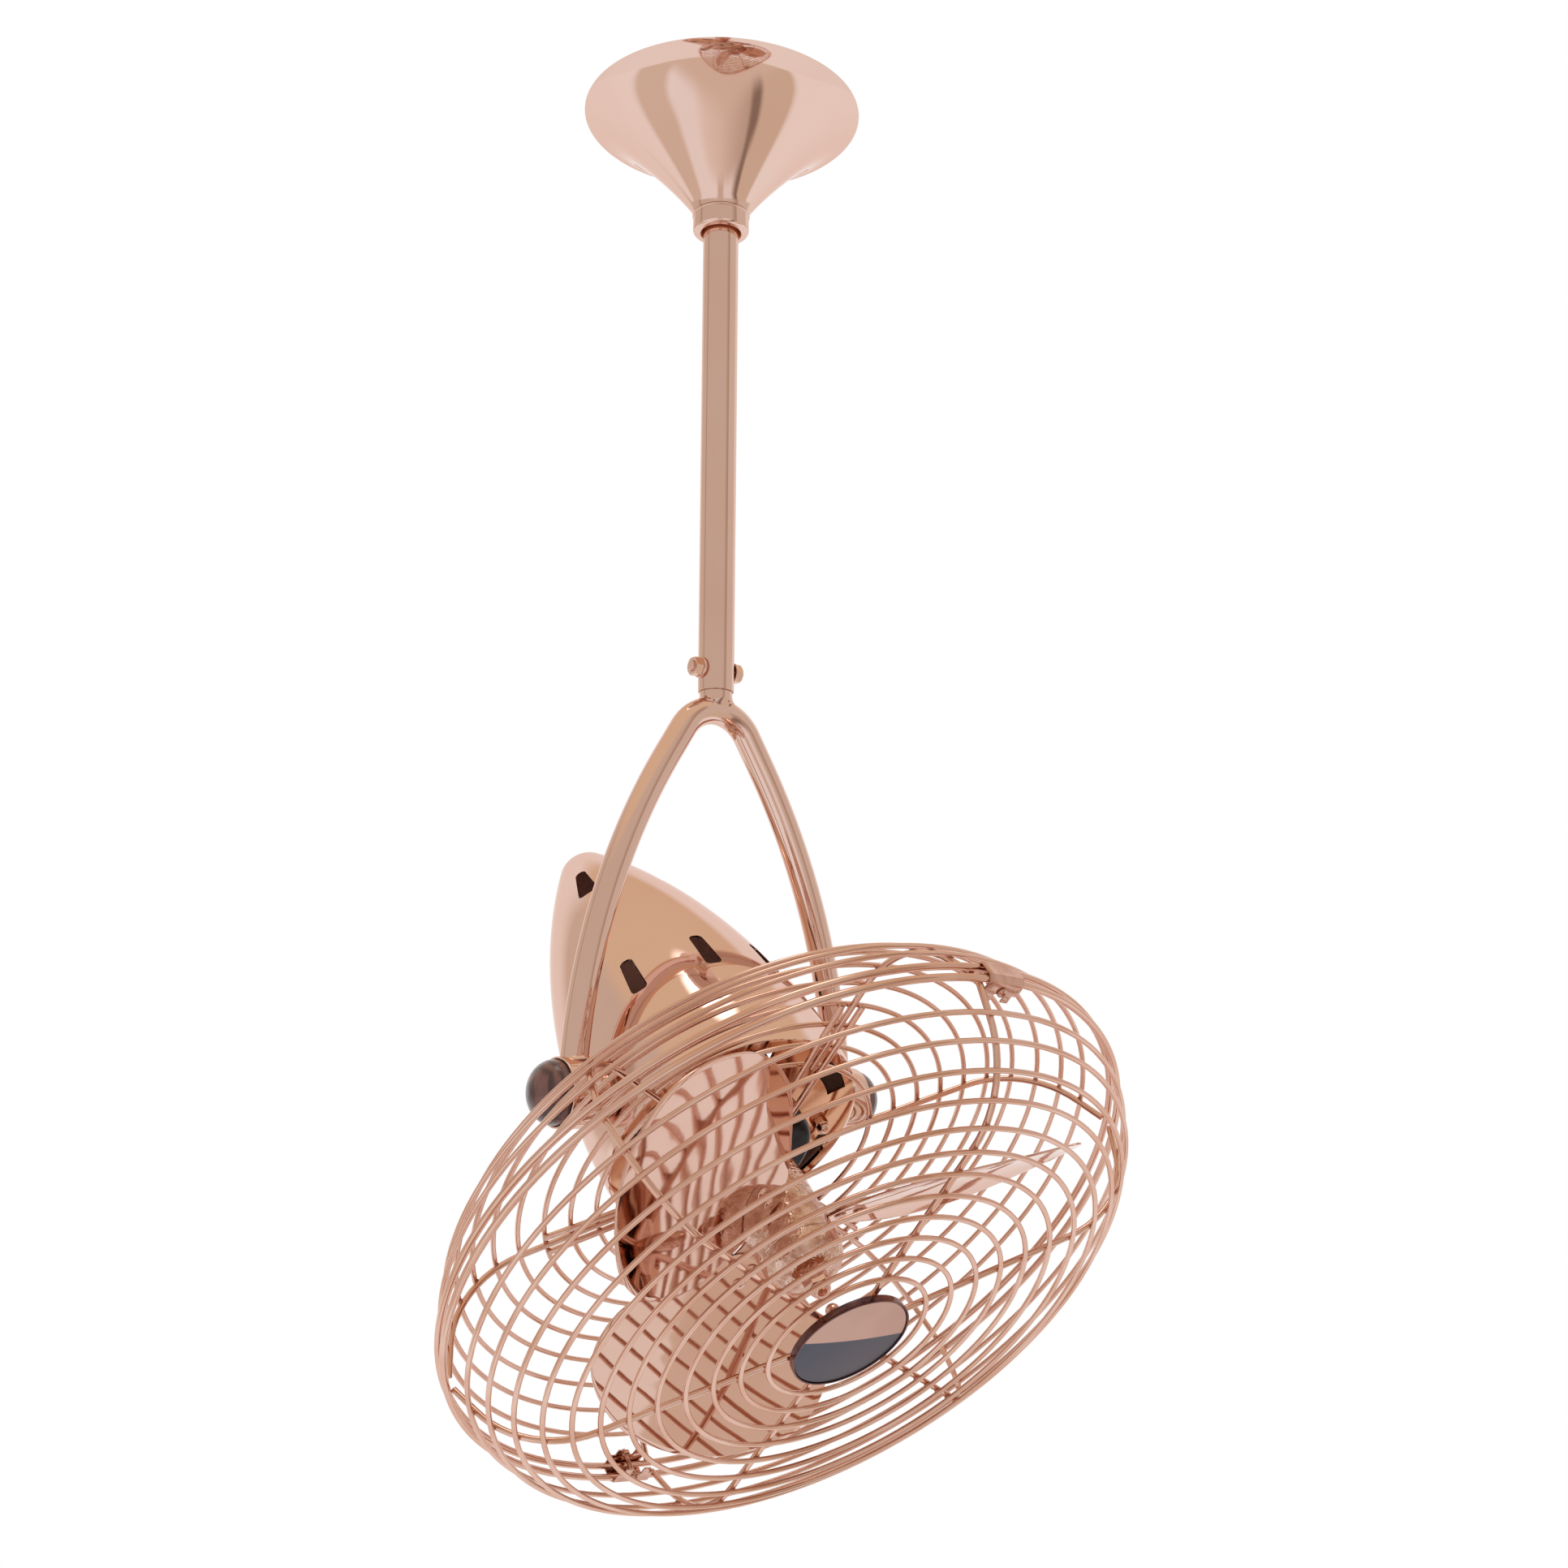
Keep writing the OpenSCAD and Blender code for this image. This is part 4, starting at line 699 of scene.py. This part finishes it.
# Band: a turned barrel ring that carries the head in the yoke, with a short boss on either side for a stud.
# It overlaps the tail's spigot at the seam and has a ledge inside for the front plate.
wall, band_l, band_end, ledge_r, ledge_from, ledge_to = 2, 64, 33, 72, 28, 31
end_r = band_radius(band_end)
stations = [seam_at + band_l * k / 24 for k in range(25)]
barrel_side = [(band_radius(a), a) for a in stations[1:-1]]
barrel_back = [(band_radius(a) - wall, a) for a in stations if a < ledge_from - 1]
band = turned("barrel_band", [
    (band_radius(seam_at) - wall, seam_at), (band_radius(seam_at) - 0.5, seam_at),
    (band_radius(seam_at + 0.6) - 0.1, seam_at + 0.15)] + barrel_side + [
    (end_r - 0.15, band_end - 0.3), (end_r - 0.6, band_end), (end_r - wall, band_end), (end_r - wall, ledge_to),
    (ledge_r, ledge_to), (ledge_r, ledge_from)] + barrel_back[::-1], steps=160)
darkened_inside(coated(band, copper, dark_inside))
band.data.transform(head_seat)
bosses = [coated(turned("band_boss", eased([
    (4.1, 74, 0.2), (14.6, 74), (13, 77.6, 2), (13, 83, 0.5), (4.1, 83, 0.2)]), seat, steps=48), copper)
    for seat in (to_right, to_left)]
fitted(joined("barrel_band", [band] + bosses), "head", "front_band")


# Front plate: a pressed disc with six kidney-shaped vents, held on the band by three long tie rods whose
# ends carry acorn nuts. The disc and the rods keep the frame's shape.
def domed(radius, height, step, way=1):
    """A quarter circle from its foot to its top on the axis"""
    return [(radius * cos(radians(t)), height + way * radius * sin(radians(t)))
            for t in range(0, 91, step)]


# Painted shade: the plate's copper is darker and more orange than the rest, standing for the shade and the
# mirrored copper deep in the band behind the cage.
plate_copper_painted_shade = finish("plate_copper_painted_shade", (0.66, 0.36, 0.22), (0.58, 0.29, 0.17), Cloud_Size=30, Smudge=0.06,
                      Least_Roughness=0.05, Wave_Size=40, Wave=8e-5)
refinished(plate_copper_painted_shade, "front_plate")
refinished(steel, "tie_rods")
tie_turns, bolt_turns = (15, 135, 255), (90, 210, 330)
acorns = []
for turn in tie_turns:
    seat = head_seat @ about(turn) @ placed(55, 0, 33.05)
    acorns.append(hexed("acorn_hexagon", 8, 4.2, 2.05, seat))
    acorns.append(turned("acorn_dome", [(4.0, 3.9), (3.75, 4.4)] + domed(3.6, 5.4, 9), seat, steps=32,
                         closed=False, sharp=50))
fitted(joined("acorn_nuts_set", acorns), "head", "acorn_nuts", copper)

# Motor: two pressed bells enamelled black clamp a laminated core, and three long bolts hold them together.
# The front bell shows through the cage and has soft edges; the inner pieces only get their own materials.
gloss_black = finish("black_enamel", (0.008, 0.008, 0.011), (0.014, 0.014, 0.018), metallic=0, coat=0.03,
                     Least_Roughness=0.12, Smudge=0.06, Wave_Size=90, Wave=0.0003, Grain=2e-6)
gloss_black.node_tree.nodes["Principled BSDF"].inputs["Specular IOR Level"].default_value = 0.12
front_bell = [turned("front_bell", eased([
    (40, 2), (40, 28.95), (44, 28.95), (44, 30.95), (40, 30.95), (40, 52.4, 4), (6, 52.4, 0.5), (6, 49.9),
    (15.05, 49.9), (15.05, 39.9), (18, 39.9), (18, 49.9), (37.5, 49.9), (37.5, 2)], parts=6), head_seat)]
for turn in tie_turns:
    ear = slab((19, 11, 2), (50.5, 0, 29.95))
    softened(0.5, 2, everywhere=True)
    front_bell.append(smoothed(ear, 40, head_seat @ about(turn)))
fitted(joined("front_bell", front_bell), "head", "motor_front_bell", gloss_black)
laminated = finish("laminated_iron", (0.3, 0.29, 0.28), (0.2, 0.19, 0.19), Cloud_Size=60, Least_Roughness=0.35,
                   Smudge=0.2, Grain=2e-5, Grain_Size=250, Stretch=(0.2, 6, 6))
enamelled_wire = finish("enamelled_wire", (0.56, 0.23, 0.1), (0.36, 0.13, 0.05), metallic=0, coat=0.6,
                        Cloud_Size=200, Least_Roughness=0.2, Smudge=0.2, Grain=0.0001, Grain_Size=300,
                        Stretch=(4, 1, 4))
moulded = finish("moulded_plastic", (0.82, 0.81, 0.76), (0.76, 0.75, 0.7), metallic=0, Cloud_Size=40,
                 Least_Roughness=0.35, Smudge=0.15, Wave=0, Grain=6e-6, Grain_Size=800)
refinished(gloss_black, "motor_rear_bell")
refinished(laminated, "stator_core", "motor_rotor")
refinished(enamelled_wire, "stator_windings")
refinished(steel, "front_bearing", "rear_bearing", "motor_shaft")
refinished(copper, "motor_bolts")
refinished(zinc, "capacitor_clip")
refinished(moulded, "capacitor")
motor_nuts = [hexed("motor_nut", 8, 3.2, 1.95, head_seat @ about(turn) @ placed(35, 0, 54.5))
              for turn in bolt_turns]
fitted(joined("motor_nuts_set", motor_nuts), "head", "motor_bolt_nuts", copper)

# Struts: three pairs of 3.6 mm rods, each pair welded on a tab that a motor bolt clamps on the front bell.
# The rods reach out to a ring of the rear cage; their cut ends and their welds are darker.
strut_mid, strut_out, rod_start, rod_wire, rod_apart = 55.85, 121.7, 44, 1.8, 5
rod_l = strut_out - rod_start
strut_parts, strut_ends = [], []
for turn in bolt_turns:
    spoke = head_seat @ about(turn)
    for side in (-1, 1):
        seat = (spoke @ placed(rod_start, side * rod_apart, strut_mid)
                @ Matrix.Rotation(side * atan2(2, rod_l), 4, "Z") @ about(90, "Y"))
        strut_parts.append(turned("strut_rod", eased([
            (0, -2), (rod_wire, -2, 0.3), (rod_wire, rod_l + 1.2, 0.5), (0, rod_l + 1.2)], closed=False),
            seat, steps=20))
        strut_ends.append(turned("cut_end", [(0, rod_l + 1.25), (1.45, rod_l + 1.22)], seat, steps=16,
                                 closed=False))
    tab = slab((21, 14, 1.9), (39.5, 0, 53.48))
    edges_picked(tab, lambda a, b: abs(a.z - b.z) > mm)
    softened(4, 5)
    softened(0.3, 1, everywhere=True)
    corners_again()
    strut_parts.append(smoothed(tab, 30, spoke))
strut_parts = [coated(part, wire_copper) for part in strut_parts]
strut_ends = [coated(part, weld_tint_and_painted_shade) for part in strut_ends]
fitted(joined("cage_struts", strut_parts + strut_ends), "head", "guard_struts")

# Cage: two dished guards of 2.9 mm rings on six 3.6 mm radials, with a 4 mm rim wire each.
# Every ring is drawn round and welded to the outside of the radials; the joints are small dark beads, whose dark
# tone is weld tint and also painted shade in the notch where a ring crosses a radial.
ring_wire, radial_wire, rim_wire, rim_z = 1.45, 1.8, 2, 4
cage_mid, rim_r, shoulder_r, first_r, rise = 114.5, 199, 60, 46, 63.1
slope, face_rings, shoulder_rings = radians(1.2), 6, 5
face_way, out_way = heading(-slope), leaning(slope)
pitch = (rim_r - 3.4 - shoulder_r * (1 - sin(slope)) - first_r) / face_rings / cos(slope)
first_spot = Vector((first_r, rise))
face_end = first_spot + face_rings * pitch * face_way
shoulder_centre = face_end - shoulder_r * out_way
step_turn = 14.5 / shoulder_r
ring_spots = [first_spot + i * pitch * face_way for i in range(face_rings + 1)]
ring_spots += [shoulder_centre + shoulder_r * leaning(slope + i * step_turn)
               for i in range(1, shoulder_rings + 1)]
sunk = ring_wire + radial_wire - 0.4
radial_turns = range(30, 390, 60)


def hoop(radius, height, wire, steps, sides):
    piece = section(sides, wire, radius, height, rotation=(pi / 2, 0, 0))
    spun(steps)
    return smoothed(piece, 60)


def radial(start_r, turn):
    """One radial: straight along the face, bent round the shoulder and run to the inside of the rim"""
    start = first_spot - (first_r - start_r) * face_way - sunk * out_way
    bend_end = slope + shoulder_rings * step_turn
    last = shoulder_centre + (shoulder_r - sunk) * leaning(bend_end)
    run = face_end - sunk * out_way - start
    reach = Vector((rim_r - rim_wire - radial_wire + 0.4, rim_z)) - last
    piece = section(12, radial_wire, start.x, start.y, (0, pi / 2 + slope, 0), "NGON")
    extruded(run.x, 0, run.y)
    spun(12, shoulder_rings * step_turn, shoulder_centre.x, shoulder_centre.y, (0, -1, 0))
    extruded(reach.x, 0, reach.y)
    return smoothed(piece, 60, about(turn))


def guard_half(name, first_ring, start_r, seat):
    """One guard: its rings, its rim wire and six radials, with a bead of weld at each joint"""
    wires = [hoop(spot.x, spot.y, ring_wire, 144, 12) for spot in ring_spots[first_ring:]]
    wires.append(hoop(rim_r - 0.06, rim_z, rim_wire, 160, 16))
    wires += [radial(start_r, turn) for turn in radial_turns]
    wires = [coated(wire, wire_copper) for wire in wires]
    beads = []
    for i in range(first_ring, len(ring_spots)):
        lean = slope + max(0, i - face_rings) * step_turn
        spot = ring_spots[i] - (ring_wire + 0.1) * leaning(lean)
        for turn in radial_turns:
            lump = bead((0, 0, 0), (1.5, 2.3, 0.9))
            lump.data.transform(about(turn) @ placed(spot.x, 0, spot.y) @ Matrix.Rotation(lean, 4, "Y"))
            beads.append(lump)
    half = joined(name, wires + beads)
    half.data.transform(seat)
    if seat.determinant() < 0:
        half.data.flip_normals()
    return half


over_mid = head_seat @ placed(0, 0, cage_mid)
rear_half = guard_half("rear_cage", 2, ring_spots[2].x, over_mid @ Matrix.Scale(-1, 4, (0, 0, 1)))
fitted(rear_half, "head", "rear_guard")
front_half = guard_half("front_cage", 0, 8, over_mid)
disc_low, disc_high = rise - 4.4 + 0.2, rise - 2.0
hub_disc = turned("cage_disc", eased([(2.6, disc_low, 0.2), (14, disc_low, 0.6), (14, disc_high, 0.6),
                                      (2.6, disc_high, 0.2)]), over_mid, steps=48)
fitted(joined("front_cage", [front_half, coated(hub_disc, wire_copper)]), "head", "front_guard")


# Clips: two sheet saddles bent over both rims, each drawn tight on the wires by a small screw and nut.
# The saddle has three flats outside and two tongues on each side that hook inwards behind the rims.
def walled(piece, wall, soft, limit, seat):
    """Give a bent sheet its wall, round its edges and put it on its seat"""
    sheet_of = piece.modifiers.new("wall", "SOLIDIFY")
    sheet_of.thickness = wall * mm
    sheet_of.offset = 1
    edge_of = piece.modifiers.new("edge", "BEVEL")
    edge_of.width = soft * mm
    edge_of.segments = 2
    edge_of.angle_limit = radians(limit)
    bpy.ops.object.modifier_apply(modifier="wall")
    bpy.ops.object.modifier_apply(modifier="edge")
    piece.data.transform(seat)
    bpy.ops.object.shade_smooth_by_angle(angle=radians(35))
    return piece


clip_copper = finish("clip_copper", (0.68, 0.44, 0.36), (0.5, 0.28, 0.21), Cloud_Size=90, Smudge=0.12,
                     Least_Roughness=0.08, Wave_Size=120, Wave=0.00012)
clip_half, clip_out, clip_l, clip_t, clip_turns = 6.2, 201.2, 24.6, 1, (85.7, 265.7)
inner_edge, tongue_from, tongue_to, tongue_l = clip_out - 9, 3.7, 8.9, 4.6
saddles, clip_screws, clip_nuts = [], [], []
for turn in clip_turns:
    saddle = chained("rim_saddle", [
        (inner_edge, clip_half), (clip_out - 2.2, clip_half), (clip_out, clip_half - 2.4),
        (clip_out, -clip_half + 2.4), (clip_out - 2.2, -clip_half), (inner_edge, -clip_half)])
    all_picked()
    bpy.ops.transform.translate(value=(0, -clip_l / 2 * mm, 0))
    for step in (3.5, 5, 7.6, 5, 3.5):
        extruded(0, step, 0)
    edges_picked(saddle, lambda a, b: max(a.x, b.x) < (inner_edge + 0.01) * mm and abs(a.y - b.y) > mm
                 and tongue_from * mm < abs(a.y + b.y) / 2 < tongue_to * mm)
    extruded(-tongue_l, 0, 0)
    corners_again()
    saddles.append(walled(smoothed(saddle, 30), clip_t, 0.25, 30, over_mid @ about(turn)))
fitted(joined("rim_clips", saddles), "head", "guard_clips", clip_copper)
for turn in clip_turns:
    seat = over_mid @ about(turn) @ placed(194, 0, 0)
    clip_screws.append(turned("clip_screw", eased([
        (0, -11.25), (1.5, -11.25, 0.4), (1.5, 7.25), (2.8, 7.25, 0.3), (2.8, 8.2, 0.9), (1.0, 9.05), (0.8, 8.3),
        (0, 8.3)], closed=False), seat, steps=28))
    clip_nuts.append(hexed("clip_nut", 5.5, 2.4, 1.55, seat @ placed(0, 0, -9.65)))
fitted(joined("clip_screw_set", clip_screws), "head", "clip_screws", clip_copper)
fitted(joined("clip_nut_set", clip_nuts), "head", "clip_nuts", clip_copper)

# Badge: a plain round plate in the middle of the cage, with a bare face in two tones that meet in a low
# curve. A dark rim strip runs round it, and a plate, a screw and a long domed nut hold it on the cage.
badge_r, badge_back, badge_face = 32.8, 177.38, 181.58
dark_rim = finish("dark_rim", (0.22, 0.12, 0.11), (0.1, 0.06, 0.07), Cloud_Size=60, Least_Roughness=0.1,
                  Smudge=0.15)
badge_paint = finish("two_tone_face", (0.56, 0.36, 0.305), (0.52, 0.33, 0.28), Cloud_Size=30,
                     Least_Roughness=0.28, Smudge=0.08, Wave_Size=60, Wave=3e-5, Grain=2e-6)
painted = badge_paint.node_tree
on_head = wired(painted, "Mapping", "Vector", {
    "Vector": wired(painted, "TexCoord", "Object"), "Location": (0, 0, pivot_z * mm),
    "Rotation": (radians(head_turn), 0, 0)}, vector_type="TEXTURE")
face_x, face_y = (wired(painted, "SeparateXYZ", axis, {"Vector": on_head}) for axis in "XY")
bow = maths(painted, "MULTIPLY", maths(painted, "MULTIPLY", face_x, face_x), -1.6)
tilt = maths(painted, "MULTIPLY", face_x, -0.05)
level = maths(painted, "ADD", face_y, maths(painted, "ADD", bow, tilt))
upper_tone = next(node for node in painted.nodes if node.bl_idname == "ShaderNodeGroup").outputs["Colour"]
two_tones = wired(painted, "Mix", "Result", {
    "Factor": wired(painted, "MapRange", "Result", {"Value": level, "From Min": 0.0025, "From Max": 0.0019}),
    "A": upper_tone, "B": (0.09, 0.1, 0.13)}, data_type="RGBA")
fed(painted, painted.nodes["Principled BSDF"].inputs["Base Color"], two_tones)
badge = turned("badge_plate", eased([
    (0, badge_back + 1.25), (badge_r - 0.05, badge_back + 1.25, 0.3), (badge_r - 0.05, badge_face - 0.2, 0.8),
    (0, badge_face)], closed=False), head_seat, steps=128)
fitted(badge, "head", "badge", badge_paint)
rim_strip = turned("badge_strip", eased([
    (badge_r, badge_back + 0.05, 0.2), (badge_r + 1, badge_back + 0.05, 0.4),
    (badge_r + 1, badge_face + 0.4, 0.4), (badge_r, badge_face + 0.4, 0.3)]), head_seat, steps=128)
fitted(rim_strip, "head", "badge_rim", dark_rim)
# The badge's back plate takes the same darker copper, with its painted shade.
refinished(plate_copper_painted_shade, "badge_back_plate")
refinished(steel, "badge_screw")
sleeve_foot = badge_back - 3.6 - 12
sleeve = turned("badge_sleeve", [(5, 173.2), (5, sleeve_foot + 0.4), (4.6, sleeve_foot)]
                + domed(4, sleeve_foot - 2, 10, -1), head_seat, steps=40, closed=False, sharp=50)
fitted(sleeve, "head", "badge_nut", copper)

# Rotor hub: a cast aluminium hub on the motor's shaft, copper-plated over a skin that was left as cast.
# Three canted pads stand out from it, each under a blade's root.
cast_copper = finish("cast_copper", (0.82, 0.64, 0.56), (0.58, 0.34, 0.25), Cloud_Size=150, Smudge=0.18,
                     Least_Roughness=0.06, Wave_Size=380, Wave=0.0005, Grain=1e-5, Grain_Size=1200)
hub_r, hub_bore, hub_rear, hub_front = 23, 5.05, 61, 119
blade_turn, blade_pitch, blade_mid, camber = 17, 25, 101, 450
hub = [turned("hub_drum", eased([
    (hub_bore, hub_rear, 0.3), (hub_r, hub_rear, 1.5), (hub_r, hub_front, 1), (hub_bore, hub_front, 0.3)]),
    head_seat)]
blade_seats = [head_seat @ about(blade_turn + 120 * k) @ placed(0, 0, blade_mid) @ about(blade_pitch, "X")
               for k in range(3)]
for seat in blade_seats:
    pad = slab((37, 26, 2.9), (33.5, 2, -1.5))
    edges_picked(pad, lambda a, b: abs(a.z - b.z) > mm and a.x > 40 * mm)
    softened(5, 6)
    softened(0.6, 2, everywhere=True)
    corners_again()
    hub.append(smoothed(pad, 40, seat))
fitted(joined("blade_hub", hub), "rotor", "rotor_hub", cast_copper)

# Blades: three broad leaves of 1.2 mm sheet, cambered, plated and polished, each on two pan-head screws.
# A leaf is a grid filled into its outline, curved over a wide drum, given its wall and rounded at the edge.
leaf_root, leaf_tip, ahead_w, behind_w, leaf_wall = 27, 170, 90, 43, 1.2
leaf_shares = [(0, -0.2), (0.2, -0.66), (0.5, -1), (0.8, -0.72), (1, 0.12), (0.94, 0.65), (0.645, 1),
               (0.335, 0.95), (0.095, 0.62), (0, 0.17)]
corners = [Vector((leaf_root + x * (leaf_tip - leaf_root), y * (behind_w if y < 0 else ahead_w)))
           for x, y in leaf_shares]
leaf_edge = []
for i in range(10):
    a, b, c, d = (corners[(i + k - 1) % 10] for k in range(4))
    for t in (k / 12 for k in range(12)):
        leaf_edge.append(0.5 * (2 * b + (c - a) * t + (2 * a - 5 * b + 4 * c - d) * t * t
                                + (3 * b - a - 3 * c + d) * t ** 3))
leaf_copper = finish("leaf_copper", (0.73, 0.5, 0.42), (0.7, 0.46, 0.37), Cloud_Size=12, Smudge=0.03,
                     Least_Roughness=0.03, Wave_Size=34, Wave=0.00017, Grain=1.2e-6, Grain_Size=700)
for k, seat in enumerate(blade_seats):
    bpy.ops.mesh.primitive_circle_add(vertices=len(leaf_edge), radius=90 * mm)
    leaf = bpy.context.object
    leaf.name = "leaf_%d" % (k + 1)
    for corner, spot in zip(leaf.data.vertices, leaf_edge):
        corner.co = (spot.x * mm, spot.y * mm, 0)
    all_picked()
    bpy.ops.mesh.fill_grid(span=30, offset=6)
    bpy.ops.mesh.normals_make_consistent()
    mode("OBJECT")
    if leaf.data.polygons[0].normal.z < 0:
        leaf.data.flip_normals()
    for corner in leaf.data.vertices:
        corner.co.z = (camber - sqrt(camber ** 2 - (corner.co.y / mm) ** 2)) * mm
    fitted(walled(leaf, leaf_wall, 0.4, 60, seat), "rotor", "blade_%d" % (k + 1), leaf_copper)
screws = [turned("leaf_screw", eased([
    (0, -4), (2, -4, 0.3), (2, 1.3), (3.5, 1.3, 0.2), (3.5, 2.2, 0.8), (1.4, 2.85), (1.1, 1.9), (0, 1.9)],
    closed=False), seat @ placed(x, 2, 0), steps=32) for seat in blade_seats for x in (33, 45)]
fitted(joined("leaf_screws", screws), "rotor", "blade_screws", copper)

# Hub cap and nut: a cast dome that closes the hub, held on the end of the shaft by a domed hexagon nut.
cap_from, cap_top, cap_flat = hub_front + 0.05, 138, 8.5
dome = [Vector((hub_r, cap_from + 1)), Vector((hub_r, cap_from + 19 * 0.7)), Vector((hub_r * 0.7, cap_top)),
        Vector((cap_flat, cap_top))]
cap = [(hub_bore, cap_from), (hub_r - 0.4, cap_from), (hub_r, cap_from + 0.4)]
cap += [bezier(*dome, k / 20) for k in range(1, 21)]
fitted(turned("hub_dome", cap + [(hub_bore, cap_top)], head_seat), "rotor", "hub_cap", cast_copper)
hub_hexagon = hexed("hub_hexagon", 13, 6, hub_bore, head_seat @ placed(0, 0, cap_top + 0.05))
hub_dome = turned("hub_dome_end", [(6.2, 143.9)] + domed(6, 144.05, 9), head_seat, steps=40,
                  closed=False, sharp=50)
fitted(joined("hub_end_nut", [hub_hexagon, hub_dome]), "rotor", "hub_nut", copper)

# Studs and knobs: a steel stud on either side carries the head, and a dark wooden knob on it clamps the tilt.
# The knobs are turned, stained and waxed, with a brass thread insert.
refinished(steel, "pivot_studs")
refinished(moulded, "pivot_washers")
refinished(brass, "left_knob_insert", "right_knob_insert")
wood, grown, wood_body = new_paint("stained_wood", {"Coat Weight": 0.4, "Coat Roughness": 0.06})
along = wired(grown, "Mapping", "Vector", {"Vector": wired(grown, "TexCoord", "Object"), "Scale": (1, 1, 0.16)})
rings = wired(grown, "TexWave", "Fac", {
    "Vector": along, "Scale": 60, "Distortion": 5, "Detail": 3, "Detail Scale": 2})
pores = wired(grown, "TexNoise", "Fac", {"Vector": along, "Scale": 900, "Detail": 3})
for plug, value in (
        ("Base Color", ramped(grown, rings, [(0, (0.05, 0.018, 0.02)), (1, (0.18, 0.078, 0.072))])),
        ("Roughness", wired(grown, "MapRange", "Result", {"Value": pores, "To Min": 0.18, "To Max": 0.4})),
        ("Normal", wired(grown, "Bump", "Normal", {"Height": pores, "Distance": 4e-5}))):
    fed(grown, wood_body.inputs[plug], value)
knob_base, knob_r = 102, 18.2
crown = [Vector((knob_r, 4)), Vector((knob_r, 11)), Vector((11.2, 17.25)), Vector((0, 18.5))]
knob = [(7.05, 0), (17.7, 0), (knob_r, 0.5)] + [bezier(*crown, k / 24) for k in range(25)]
knob = [(point[0], point[1] + knob_base) for point in knob]
for side, seat in (("right", to_right), ("left", to_left)):
    turned_knob = turned("turned_knob_" + side, knob, seat, steps=72, closed=False, sharp=40)
    fitted(turned_knob, side + "_knob", side + "_knob", wood)
